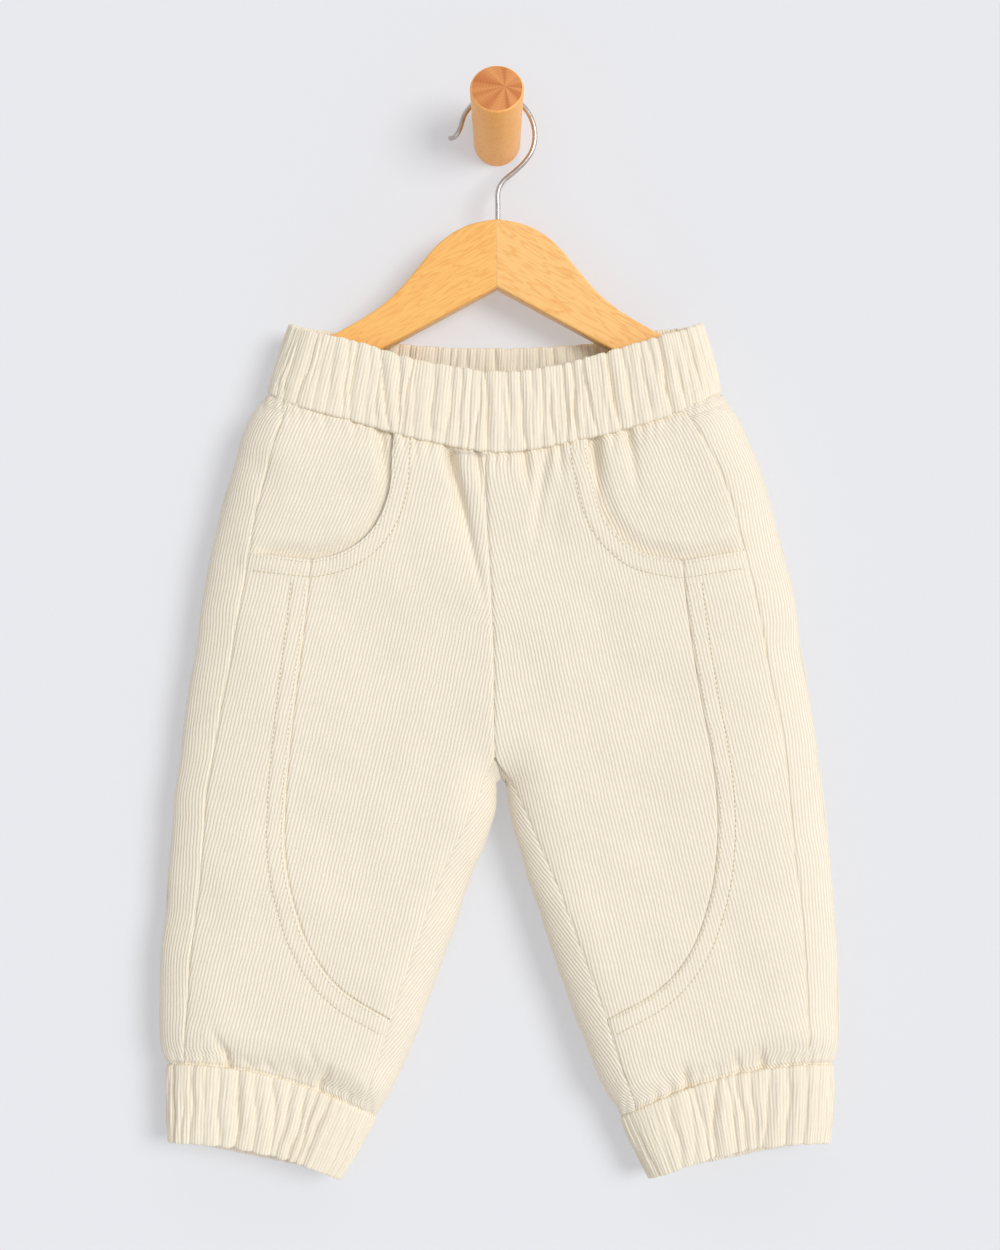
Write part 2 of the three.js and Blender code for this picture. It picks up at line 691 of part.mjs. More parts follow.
function waistband() {
  const edge = (section, front, back, lift) => (share) => {
    const { x, y, isFront } = ringSection(section, share);
    return new THREE.Vector3(x, y, lookUp(isFront ? front : back, 'x', 'z', x) + lift);
  };
  return gatheredRing({
    edges: {
      top: edge(BAND_TOP, BAND_TOP_FRONT, BAND_TOP_BACK, 0),
      bottom: edge(BAND_BOTTOM, WAIST_SEAM_FRONT, WAIST_SEAM_BACK, RING_GAP / 2),
    },
    gathers: WAIST_GATHERS,
    height: BAND_GATHER_HEIGHT,
    wall: BAND_WALL,
    levels: columns(['level', 'ridge'], [
      [0, 0.6],
      [0.45, 1],
      [1, 0.35],
    ]),
  });
}

function cuff(side) {
  const corners = CUFFS[side];
  const isLeft = side === 'left';
  const section = (outer, inner, depth, outerReach, innerReach) => ({
    left: isLeft ? outer[0] : inner[0],
    right: isLeft ? inner[0] : outer[0],
    leftReach: isLeft ? outerReach : innerReach,
    rightReach: isLeft ? innerReach : outerReach,
    depth,
  });
  const { topOuter, topInner, bottomOuter, bottomInner } = corners;
  const { outer, inner } = CUFF_TOP_REACH;
  const { reach, depth } = CUFF_BOTTOM;
  const top = section(topOuter, topInner, CUFF_SEAM_DEPTH, outer, inner);
  const bottom = section(bottomOuter, bottomInner, depth, reach, reach);
  const edge = (shape, from, to, bowFront, bowBack, lift) => (share) => {
    const { x, y, isFront } = ringSection(shape, share);
    const z = cuffEdgeZ(from, to, isFront ? bowFront : bowBack, x);
    return new THREE.Vector3(x, y, z + lift);
  };
  const { topFront, topBack, bottomFront, bottomBack } = CUFF_BOW;
  return gatheredRing({
    edges: {
      top: edge(top, topOuter, topInner, topFront, topBack, -RING_GAP / 2),
      bottom: edge(bottom, bottomOuter, bottomInner, bottomFront, bottomBack, 0),
    },
    gathers: CUFF_GATHERS,
    height: CUFF_GATHER_HEIGHT,
    wall: CUFF_WALL,
    levels: columns(['level', 'ridge'], [
      [0, 0.3],
      [0.5, 1],
      [1, 0.6],
    ]),
  });
}

// The upper edge of a hanger arm, out from the neck
const ARM_TOP = columns(['x', 'z'], [
  [0, HANGER_NECK_TOP_Z],
  [13, -46.3],
  [23.1, -51.2],
  [31.9, -58.5],
  [40.7, -69.2],
  [51.5, -81.5],
  [63, -90.8],
  [82.5, -102.2],
  [104.2, -114.4],
]);
// Where the end of each arm, cut to lie against the band's fold, begins and ends
const ARM_END = {
  left: { topX: 104.2, bottomX: 106.2, bottomZ: -136 },
  right: { topX: 102.7, bottomX: 104.7, bottomZ: -135.5 },
};
const ARM_TOP_STEPS = 13;

function hangerArm(side) {
  const facing = side === 'left' ? -1 : 1;
  const outline = new THREE.Shape();
  const end = ARM_END[side];
  outline.moveTo(facing * (SEAM_GAP / 2), HANGER_FORK_Z);
  for (let step = 0; step <= ARM_TOP_STEPS; step += 1) {
    const x = mix(SEAM_GAP / 2, end.topX, step / ARM_TOP_STEPS);
    outline.lineTo(facing * x, lookUp(ARM_TOP, 'x', 'z', x));
  }
  outline.lineTo(facing * end.bottomX, end.bottomZ);
  outline.closePath();
  const geometry = new THREE.ExtrudeGeometry(outline, {
    depth: HANGER_THICKNESS - 2 * HANGER_EDGE_ROUND,
    bevelThickness: HANGER_EDGE_ROUND,
    bevelSize: HANGER_EDGE_ROUND,
    bevelOffset: -HANGER_EDGE_ROUND,
    bevelSegments: 2,
  });
  geometry.translate(0, 0, HANGER_EDGE_ROUND - HANGER_THICKNESS / 2);
  geometry.rotateX(Math.PI / 2);
  geometry.translate(0, HANGER_PLANE_Y, 0);
  return geometry;
}

// The hook's wire below its loop, up from the hanger's neck, and its bent-out tip
const HOOK_STEM = columns(['x', 'z'], [
  [0.4, HANGER_NECK_TOP_Z + SEAM_GAP],
  [0.4, -36],
  [0.5, -29],
  [3, -24],
  [8.8, -19],
]);
const HOOK_TIP = columns(['x', 'z'], [
  [-21.6, -1.2],
  [-25, -2.2],
]);

function hangerHook() {
  const loop = [];
  const { start, stop, step } = HOOK_LOOP_DEGREES;
  for (let degrees = start; degrees <= stop; degrees += step) {
    const angle = THREE.MathUtils.degToRad(degrees);
    const height = Math.sin(angle) > 0 ? HOOK_LOOP.rise : HOOK_LOOP.drop;
    loop.push({
      x: HOOK_LOOP.halfWidth * Math.cos(angle),
      z: HOOK_LOOP.z + height * Math.sin(angle),
    });
  }
  const knots = [...HOOK_STEM, ...loop, ...HOOK_TIP].map(
    ({ x, z }) => new THREE.Vector3(x, HANGER_PLANE_Y, z),
  );
  const section = new THREE.Shape();
  section.absarc(0, 0, WIRE_RADIUS, 0, 2 * Math.PI);
  return new THREE.ExtrudeGeometry(section, {
    extrudePath: new THREE.CatmullRomCurve3(knots),
    steps: HOOK_STEPS,
    curveSegments: WIRE_CURVE_SEGMENTS,
  });
}

// The peg's back face lies in the wall's plane, and its axis rises as it comes forward
function wallPeg() {
  const { backRadius, frontRadius, length, tiltDegrees, edgeRound } = PEG;
  const profile = [
    new THREE.Vector2(0, 0),
    new THREE.Vector2(backRadius, 0),
    new THREE.Vector2(mix(backRadius, frontRadius, PEG_FOOT_SHARE), length * PEG_FOOT_SHARE),
    new THREE.Vector2(frontRadius, length - edgeRound),
    new THREE.Vector2(frontRadius - edgeRound / 3, length - edgeRound / 3),
    new THREE.Vector2(frontRadius - edgeRound, length),
    new THREE.Vector2(0, length),
  ];
  const geometry = new THREE.LatheGeometry(profile, PEG_SEGMENTS);
  const tilt = THREE.MathUtils.degToRad(tiltDegrees);
  const position = geometry.getAttribute('position');
  for (let index = 0; index < position.count; index += 1) {
    const [x, along, up] = [position.getX(index), position.getY(index), position.getZ(index)];
    const lean = tilt * smooth(along / (length * PEG_FOOT_SHARE));
    const y = -along * Math.cos(tilt) + up * Math.sin(lean);
    position.setXYZ(index, x, y, along * Math.sin(tilt) + up * Math.cos(lean));
  }
  return geometry;
}

// Shares vertices that touch, and turns every face out of the solid
function closed(geometry) {
  const bare = geometry.clone();
  bare.deleteAttribute('normal');
  bare.deleteAttribute('uv');
  const merged = mergeVertices(bare, WELD_DISTANCE);
  const position = merged.getAttribute('position');
  const corner = (index) => new THREE.Vector3().fromBufferAttribute(position, index);
  const faces = [];
  let volume = 0;
  for (let start = 0; start < merged.index.count; start += 3) {
    const [a, b, c] = [0, 1, 2].map((offset) => merged.index.getX(start + offset));
    if (a !== b && b !== c && c !== a) {
      faces.push([a, b, c]);
      volume += corner(a).dot(corner(b).cross(corner(c)));
    }
  }
  merged.setIndex(faces.flatMap(([a, b, c]) => (volume > 0 ? [a, b, c] : [a, c, b])));
  merged.computeVertexNormals();
  return merged;
}

function solid(name, geometry, color, roughness, metalness = 0) {
  const material = new THREE.MeshStandardMaterial({ color, roughness, metalness });
  const mesh = new THREE.Mesh(closed(geometry), material);
  mesh.name = name;
  return mesh;
}

const CLOTH_COLOUR = 0xf0e8d6;
const BAND_COLOUR = 0xf0e7d3;
const WOOD_COLOUR = 0xfdbf6f;
const PEG_COLOUR = 0xe5a069;
const STEEL_COLOUR = 0xcabeb7;

const trousers = new THREE.Group();
trousers.add(solid('waistband', waistband(), BAND_COLOUR, 0.9));
['left', 'right'].forEach((side) => {
  trousers.add(solid(`front_centre_${side}`, frontCentre(side), CLOTH_COLOUR, 0.9));
  trousers.add(solid(`front_side_${side}`, frontSide(side), CLOTH_COLOUR, 0.9));
  trousers.add(solid(`pocket_facing_${side}`, pocketFacing(side), CLOTH_COLOUR, 0.9));
  trousers.add(solid(`back_${side}`, backPanel(side), CLOTH_COLOUR, 0.9));
  trousers.add(solid(`cuff_${side}`, cuff(side), BAND_COLOUR, 0.9));
});
const hanger = new THREE.Group();
hanger.add(solid('hanger_arm_left', hangerArm('left'), WOOD_COLOUR, 0.4));
hanger.add(solid('hanger_arm_right', hangerArm('right'), WOOD_COLOUR, 0.4));
hanger.add(solid('hanger_hook', hangerHook(), STEEL_COLOUR, 0.3, 1));

const group = new THREE.Group();
group.add(trousers, hanger, solid('wall_peg', wallPeg(), PEG_COLOUR, 0.55));

export default group;
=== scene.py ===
"""Looks of a toddler's corduroy trousers that hang on a wooden hanger over a wall peg.

Shapes are worked out in millimetres in the part's own frame, +X to the viewer's right, +Z up and
the wall at y = 0, and turned into metres when a mesh is made.
"""

import logging
import math
from dataclasses import dataclass
from enum import Enum
from typing import Any, Callable

import bmesh
import bpy
import numpy as np
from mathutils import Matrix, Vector


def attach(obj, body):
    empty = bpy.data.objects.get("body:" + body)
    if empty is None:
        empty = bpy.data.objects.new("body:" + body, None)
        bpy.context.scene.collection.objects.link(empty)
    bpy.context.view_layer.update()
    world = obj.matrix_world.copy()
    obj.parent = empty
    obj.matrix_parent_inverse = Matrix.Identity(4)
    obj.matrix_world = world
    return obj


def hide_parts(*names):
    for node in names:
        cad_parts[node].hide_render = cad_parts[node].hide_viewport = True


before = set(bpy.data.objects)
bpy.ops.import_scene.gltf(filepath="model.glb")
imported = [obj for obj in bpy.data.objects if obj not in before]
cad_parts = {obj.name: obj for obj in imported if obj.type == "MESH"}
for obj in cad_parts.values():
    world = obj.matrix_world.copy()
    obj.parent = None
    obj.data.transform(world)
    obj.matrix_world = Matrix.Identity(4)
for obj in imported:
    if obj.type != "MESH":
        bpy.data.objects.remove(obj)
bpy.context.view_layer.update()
LOG = logging.getLogger("trousers")

MM = 0.001
SHARP_ANGLE = math.radians(35)
PEG_SHARP_ANGLE = math.radians(40)
WELD = 1e-6  # metres
PEG_WELD = 1e-4  # millimetres
CUT_MAP = "cut"  # the UV map that holds where each point lies on the flat cut, in metres

# The garment's walls and gaps
MID_PLANE_Y = -18.0
CLOTH_WALL = 1.6
BAND_WALL = 2.6
CUFF_WALL = 2.4
SEAM_GAP = -0.1  # sewn edges run on into one another
RING_GAP = 0.5
RING_OVERLAP = 1.3  # how far the body runs on into a gathered ring
RING_OVERLAP_ROWS = 0.5
TIP_ROWS = 0.012  # how far short of its point the front panel stops
MITRE_GAP = 0.14
WAIST_SEAM_DEPTH = 15.5
CUFF_SEAM_DEPTH = 10.8
WAIST_PUFF = 16.0
CUFF_PUFF = 20.0
NOTCH_X = 2.3
NOTCH_Z = -331.0
NOTCH_RADIUS = 2.0

# Rows of the seam tables, from the waist to the cuff
CROTCH_ROW = 9
MOUTH_ROW = 6
MEETING_ROW = 15
LAST_ROW = 18
POCKET_UNDERLAP = 9.0
FACING_DROP = 2.3
FACING_RISE_WIDTH = 9.0
FACING_RISE_START = 0.8
FACING_SIDE_DROP = 0.12  # share of that drop that is left at the side seam
FACING_SIDE_WIDTH = 13.0
FACING_TUCK = 1.2  # how far it runs on under the back panel at the mouth's corner
FACING_TUCK_START = 12.0
FACING_TUCK_LENGTH = 4.0
FACING_LOWERS_FROM = 4  # the row from which the facing's side end drops under the hem
FACING_LOWERS_OVER = 2
FACING_EASES_OVER = 2  # the rows over which its hidden edge takes up the mouth's line

# Where the grids of cloth are denser: millimetres in from a side, and rows in from an end
EDGE_COLUMNS = (0.0, 0.35, 0.8, 1.4)
END_ROWS = (0.02, 0.05, 0.09)

AT_CROTCH = np.array([float(CROTCH_ROW)])
AT_MOUTH = np.array([float(MOUTH_ROW)])

Array = np.ndarray
Socket = bpy.types.NodeSocket
Material = bpy.types.Material
Piece = bpy.types.Object
Pair = tuple[float, float]
Place = tuple[float, float, float]
Colour = tuple[float, float, float, float]
Line = Callable[[Array], Array]  # from row numbers to points of the front view
Edge = Callable[[Array], Array]  # from x to z


class Side(Enum):
    """A leg, as the viewer sees it."""

    LEFT = "left"
    RIGHT = "right"

    @property
    def outwards(self) -> float:
        """Sign of X away from the centre."""
        return -1.0 if self is Side.LEFT else 1.0


def smooth_step(value: Array) -> Array:
    """Eases from 0 to 1 as the value does."""
    held = np.clip(value, 0.0, 1.0)
    return held * held * (3.0 - 2.0 * held)


def smooth_curve(keys: Array, values: Array, at: Array) -> Array:
    """Reads a smooth curve through points, held level past both ends.

    Args:
        keys: Where the points lie, rising or falling.
        values: Their values.
        at: Where the curve is read.

    Returns:
        The curve's values, in the shape of at.
    """
    order = 1 if keys[0] < keys[-1] else -1
    keys, values = keys[::order], values[::order]
    slopes = np.empty_like(values)
    slopes[1:-1] = (values[2:] - values[:-2]) / (keys[2:] - keys[:-2])
    slopes[0] = (values[1] - values[0]) / (keys[1] - keys[0])
    slopes[-1] = (values[-1] - values[-2]) / (keys[-1] - keys[-2])
    held = np.clip(at, keys[0], keys[-1])
    low = np.clip(np.searchsorted(keys, held, side="right") - 1, 0, len(keys) - 2)
    span = keys[low + 1] - keys[low]
    t = (held - keys[low]) / span
    rise = values[low + 1] - values[low]
    bend = slopes[low] * span * (1 - t) ** 2 * t - slopes[low + 1] * span * t**2 * (1 - t)
    return values[low] + rise * t**2 * (3 - 2 * t) + bend


@dataclass(frozen=True)
class Table:
    """A short table of sizes with named columns.

    Attributes:
        names: The columns.
        rows: One row of numbers for each section or fold.
    """

    names: tuple[str, ...]
    rows: tuple[tuple[float, ...], ...]

    def column(self, name: str) -> Array:
        """Numbers of one column."""
        return np.array([row[self.names.index(name)] for row in self.rows], float)

    def read(self, key: str, name: str, at: Array) -> Array:
        """Reads one column as a smooth curve over another."""
        return smooth_curve(self.column(key), self.column(name), at)

    def read_rows(self, name: str, row: Array, *corners: int) -> Array:
        """Reads a column at row numbers, as smooth curves that meet at corners.

        Args:
            name: The column.
            row: Row numbers, which may lie between two rows.
            *corners: The rows where two curves meet.

        Returns:
            The column's values.
        """
        values = self.column(name)
        numbers = np.arange(len(values), dtype=float)
        bounds = [0, *corners, len(values) - 1]
        read = np.zeros_like(row)
        for low, high in zip(bounds, bounds[1:]):
            if high > low:
                part = slice(low, high + 1)
                curve = smooth_curve(numbers[part], values[part], row)
                read = np.where(row < low, read, curve)
        return read


OUTER_FOLD = Table(("z", "left", "right"), (
    (-132, -116.2, 113.7), (-143.2, -124.4, 122.3), (-155.4, -129, 127.9), (-181, -137.6, 137.1),
    (-221.7, -146.8, 147.8), (-262.4, -153.4, 155), (-303.2, -159.5, 161.1), (-344, -164.1, 166.7),
    (-385, -167.7, 170.8), (-425.6, -170.8, 173.3), (-456, -171.4, 173.8), (-467.3, -170.2, 172.8),
    (-473.3, -167.2, 170.8),
))
INNER_FOLD = Table(("z", "left", "right"), (
    (-331, 0.3, 4.3), (-344, -1, 6.6), (-354.2, -4.1, 8.7), (-364.4, -7.1, 11.7),
    (-374.6, -11.2, 14.3), (-395, -18.9, 21.4), (-435.7, -33.1, 35.2), (-476.5, -48.4, 50.5),
    (-499.6, -61.8, 63.4),
))
FORM = Table(("z", "depth", "outer_reach", "inner_reach"), (
    (-132, 16, 24, 28), (-165, 17.5, 28, 28), (-220, 16.5, 40, 28), (-300, 14.5, 45, 28),
    (-380, 14, 45, 28), (-440, 15.5, 40, 28), (-475, 16, 28, 26), (-500, 15.5, 26, 24),
))
BAND_TOP_FRONT = Table(("x", "z"), (
    (-104.5, -97), (-98, -100.6), (-65.4, -108.5), (-49.8, -113.8), (-30.7, -118.1), (1, -122.2),
    (28.7, -119.3), (60.9, -110.7), (97, -99.8), (104, -96.6),
))
BAND_TOP_BACK = Table(("x", "z"), (
    (-104.5, -97), (-80, -99.5), (-51, -105), (0, -107.4), (45.9, -104.9), (80, -98.5),
    (104, -96.6),
))
WAIST_SEAM_FRONT = Table(("x", "z"), (
    (-116.2, -132), (-103.8, -138.8), (-77.1, -146.4), (-42.3, -156), (0, -163.3), (44.9, -156.5),
    (76.6, -148.2), (97, -140.8), (113.7, -132),
))
WAIST_SEAM_BACK = Table(("x", "z"), (
    (-116.2, -132), (-100, -138), (-50, -146), (0, -150), (50, -146), (98, -138), (113.7, -132),
))
SEAM_NAMES = ("inseam_x", "inseam_z", "curve_x", "curve_z", "side_x", "side_z")
SEAM_ROWS = {
    Side.LEFT: Table(SEAM_NAMES, (
        (-6, -163.2, -51.8, -153.4, -104.6, -138.4), (-6, -169.6, -52.3, -162.6, -109, -150.3),
        (-5.5, -184.2, -53.4, -180.7, -114, -166.5), (-5, -199.3, -58.9, -196.3, -117.5, -179.6),
        (-4, -214.4, -67.4, -206.9, -121.1, -192.7), (-3, -232.1, -79.5, -214, -123.1, -204.3),
        (-2, -252.2, -93.1, -217, -124.5, -213.4), (-1.5, -273.4, -96.1, -247.2, -129.6, -242.1),
        (-1.5, -295.1, -100.2, -279.9, -135.2, -273.4), (-1, -316.2, -104.2, -315, -141.8, -307),
        (-10.6, -338.9, -106.2, -343, -146.3, -338),
        (-22.7, -364.6, -106.2, -365.5, -148.8, -365.7),
        (-33.8, -390.8, -102.2, -388.2, -151.3, -391),
        (-42.8, -417, -93.6, -412.3, -153.9, -413.7), (-48.9, -433.7, -78.5, -432, -155.4, -432.8),
        (-53.4, -447.8, -55, -446.8, -156.4, -448), (-59.7, -468.9, -59.7, -468.9, -157.4, -459.1),
        (-65.2, -485.1, -65.2, -485.1, -157.9, -467.2), (-68, -494.2, -68, -494.2, -158.2, -471.2),
    )),
    Side.RIGHT: Table(SEAM_NAMES, (
        (-6, -163.2, 45.8, -156.3, 93.9, -142), (-6, -169.6, 46.3, -165.6, 100.4, -152),
        (-5.5, -184.2, 48.9, -179.2, 109, -167), (-5, -199.3, 53.4, -194.3, 114.5, -180.1),
        (-4, -214.4, 60.9, -204.9, 119.1, -192.7), (-3, -232.1, 72.5, -213.4, 122.1, -204.3),
        (-2, -252.2, 92.7, -217.5, 124.2, -212.4), (-1.5, -273.4, 96.2, -247.2, 131.2, -242.1),
        (-1.5, -295.1, 101.2, -279.9, 137.2, -273.4), (-1, -316.2, 107.8, -315, 143.8, -307),
        (12.1, -338.9, 110.8, -343, 147.8, -338), (23.2, -364.6, 110.3, -365.5, 149.9, -365.7),
        (34.2, -390.8, 106.8, -387.2, 152.9, -391), (43.6, -416, 97.2, -413.3, 154.9, -413.7),
        (49.9, -433.7, 81.1, -432.5, 155.9, -432.8), (55, -447.8, 56.6, -446.8, 156.4, -448),
        (61.5, -468.9, 61.5, -468.9, 156.9, -459.1), (67.6, -485.1, 67.6, -485.1, 156.9, -467.2),
        (70.1, -494.2, 70.1, -494.2, 156.9, -471.2),
    )),
}
BACK_ROWS = Table(("fold_z", "inner_z"), (
    (-132, -150), (-147, -160), (-164, -176), (-178, -192), (-192, -207), (-204, -224),
    (-214, -243), (-242, -265), (-274, -297), (-308, -329), (-338, -343), (-366, -368),
    (-391, -395), (-414, -421), (-433, -438), (-448, -453), (-459, -474), (-467, -491),
    (-473.3, -499.6),
))

# Soft troughs in the cloth: from, to, half width and depth. The first twelve are in the solids,
# where the four at the cuffs are a little deeper.
FOLD_NAMES = ("x0", "z0", "x1", "z1", "width", "depth")
FRONT_FOLDS = Table(FOLD_NAMES, (
    (-23.6, -161, -18, -193, 5, 2.6), (-19, -188, -7.5, -242, 6, 1.8),
    (14.6, -163, 17, -182, 5, 1.2), (29.2, -186, 23.2, -222, 7, 1.2),
    (-58.4, -154, -53.3, -180, 5, 1.6), (47.3, -158, 53.4, -190, 5, 1.5),
    (65, -152, 77, -200, 7, 1.4), (-118, -172, -109, -206, 7, 0.9), (-86, -495, -80, -455, 6, 0.6),
    (-138, -478, -134, -448, 7, 0.8), (99, -494, 94, -456, 6, 0.6), (132, -478, 127, -446, 7, 0.8),
    (-24.6, -157, -16, -214, 1.9, 2), (-23.2, -163, -3.8, -250, 2.1, 4.2),
    (-59, -150, -55.2, -186, 1.8, 3), (-10.4, -158, -4.6, -204, 1.9, 2.9),
    (24.5, -160, 17, -222, 3, 2.6), (3, -163, 4.5, -174, 1.5, 0.8),
    (13.2, -158, 16.8, -192, 2.1, 2.5), (20.5, -161, 21.5, -171, 1.4, 0.8),
    (30.6, -157, 33.8, -186, 2.1, 2), (39, -158, 38.5, -167, 1.3, 0.7),
    (48, -152, 51.8, -196, 2, 3.3), (65, -147, 72, -194, 2.1, 3),
    (-71.5, -147, -67.5, -159, 1.6, 0.9), (-34, -158, -36, -170, 1.5, 0.9),
    (-45, -156, -46, -166, 1.4, 0.7), (-88, -143, -84, -153, 1.7, 0.6),
    (84, -145, 88, -157, 1.7, 0.8), (-134.8, -473, -137.4, -460, 1.7, 3),
    (-137.2, -465, -145, -446, 2.1, 2), (-89.6, -483, -81.6, -464, 1.8, 3),
    (-92, -468, -96, -455, 2.2, 1), (-113.4, -474, -116.5, -465, 1.5, 1.1),
    (-124, -472, -127, -464, 1.4, 0.8), (-101, -477, -101, -468, 1.4, 0.7),
    (-75, -489, -72, -477, 1.8, 0.9), (97, -484, 91.4, -463, 1.8, 2.8),
    (88, -484, 80, -470, 2, 1.1), (110.5, -476, 108, -466, 1.4, 0.9),
    (122, -475, 117.8, -458, 1.7, 2.3), (134, -473, 131, -457, 1.7, 2.2),
    (145, -471, 146, -462, 1.4, 0.8), (80, -489, 77, -476, 1.8, 0.8),
))
BACK_FOLDS = Table(FOLD_NAMES, (
    (-70, -140, -64, -196, 5, 1.6), (-31, -147, -24, -182, 4, 1.5), (18, -148, 16, -196, 5, 1.6),
    (52, -145, 58, -178, 4, 1.3), (86, -140, 96, -204, 6, 1.4), (-100, -137, -108, -168, 4, 1.1),
    (-4, -330, -62, -296, 8, 1.3), (6, -330, 58, -300, 8, 1.3), (-96, -490, -88, -440, 6, 1.3),
    (-132, -480, -134, -446, 5, 1.2), (104, -488, 98, -444, 6, 1.3),
    (138, -480, 136, -448, 5, 1.1),
))

# Columns of the wave that the hanging cloth makes: wave length, way up from level, height
RUMPLES = Table(("length", "degrees", "height"), (
    (86, 74, 0.36), (61, 101, 0.26), (47, 63, 0.2), (38, 12, 0.12), (29, 96, 0.1), (22, 35, 0.06),
))
RUMPLE_BEND = 0.9  # how far along itself a wave bends, as a share of its length
RUMPLE_START = 2.1


def fold_depth(table: Table, x: Array, z: Array) -> Array:
    """How far the folds of a table push the cloth in at points of the front view.

    Args:
        table: The folds.
        x: Places across.
        z: Heights.

    Returns:
        Depths in millimetres.
    """
    total = np.zeros_like(x)
    for x0, z0, x1, z1, width, depth in table.rows:
        along_x, along_z = x1 - x0, z1 - z0
        t = np.clip(((x - x0) * along_x + (z - z0) * along_z) / (along_x**2 + along_z**2), 0, 1)
        away = np.hypot(x - x0 - t * along_x, z - z0 - t * along_z) / width
        total += depth * (1 - smooth_step(t)) * np.exp(-(away**2))
    return total


def rumple(x: Array, z: Array, start: float) -> Array:
    """Gentle unevenness of cloth that hangs freely, in millimetres.

    Args:
        x: Places across.
        z: Heights.
        start: Where the waves begin, so that the front and back differ.

    Returns:
        Heights above and below the plain form.
    """
    total = np.zeros_like(x)
    for number, (length, degrees, height) in enumerate(RUMPLES.rows):
        angle = math.radians(degrees)
        way = x * math.cos(angle) + z * math.sin(angle)
        across = x * math.sin(angle) - z * math.cos(angle)
        bend = math.pi * np.sin(across / (RUMPLE_BEND * length) + number + start)
        total += height * np.sin(2 * math.pi * way / length + bend + RUMPLE_START * number * start)
    return total


def distance_to(points: Array, line: Array) -> tuple[Array, Array]:
    """Distance from points to a line of short stretches on the front view.

    Args:
        points: Array whose last axis is x and z.
        line: Points along the line.

    Returns:
        The distance of each point, and how far along the line it is nearest.
    """
    flat = points.reshape(-1, 1, 2)
    start, stretch = line[:-1], np.diff(line, axis=0)
    squared = (stretch**2).sum(1)
    t = np.clip(((flat - start) * stretch).sum(2) / squared, 0, 1)
    away = ((flat - start - t[..., None] * stretch) ** 2).sum(2)
    nearest = away.argmin(1)
    picked = np.arange(len(nearest))
    lengths = np.sqrt(squared)
    before = np.concatenate([[0], np.cumsum(lengths)[:-1]])
    along = before[nearest] + t[picked, nearest] * lengths[nearest]
    shape = points.shape[:-1]
    return np.sqrt(away[picked, nearest]).reshape(shape), along.reshape(shape)


def arc_length(points: Array) -> Array:
    """Distance along each row of a grid of points, from its first column."""
    steps = np.linalg.norm(np.diff(points, axis=1), axis=2)
    return np.concatenate([np.zeros((len(points), 1)), np.cumsum(steps, axis=1)], axis=1)


@dataclass(frozen=True)
class CuffShape:
    """Corners of a cuff on the front view, and how far its front and back edges bow up."""

    top_outer: Pair
    top_inner: Pair
    bottom_outer: Pair
    bottom_inner: Pair
    bow_power: float = 0.65
    top_bows: Pair = (10.0, 3.0)
    bottom_bows: Pair = (7.0, 0.0)

    def edge_z(self, x: Array, is_top: bool, is_front: Array | bool) -> Array:
        """Height of the cuff's edge.

        Args:
            x: Places across.
            is_top: Whether the top edge is read.
            is_front: Whether each place is on the front.

        Returns:
            Heights in millimetres.
        """
        outer, inner, bows = self.bottom_outer, self.bottom_inner, self.bottom_bows
        if is_top:
            outer, inner, bows = self.top_outer, self.top_inner, self.top_bows
        bow = np.where(is_front, bows[0], bows[1])
        t = np.clip((x - outer[0]) / (inner[0] - outer[0]), 0, 1)
        return outer[1] + (inner[1] - outer[1]) * t + bow * np.sin(math.pi * t) ** self.bow_power


CUFF_SHAPES = {
    Side.LEFT: CuffShape((-167.2, -473.3), (-61.8, -499.6), (-166.5, -513), (-79.6, -531.3)),
    Side.RIGHT: CuffShape((170.8, -473.3), (63.4, -499.6), (168, -513.2), (78.6, -531)),
}


def waist_seam_z(x: Array, is_front: bool) -> Array:
    """Height of the seam between the band and the body."""
    return (WAIST_SEAM_FRONT if is_front else WAIST_SEAM_BACK).read("x", "z", x)


def cuff_seam_z(side: Side, x: Array, is_front: bool) -> Array:
    """Height of the seam between a leg and its cuff."""
    return CUFF_SHAPES[side].edge_z(x, True, is_front)


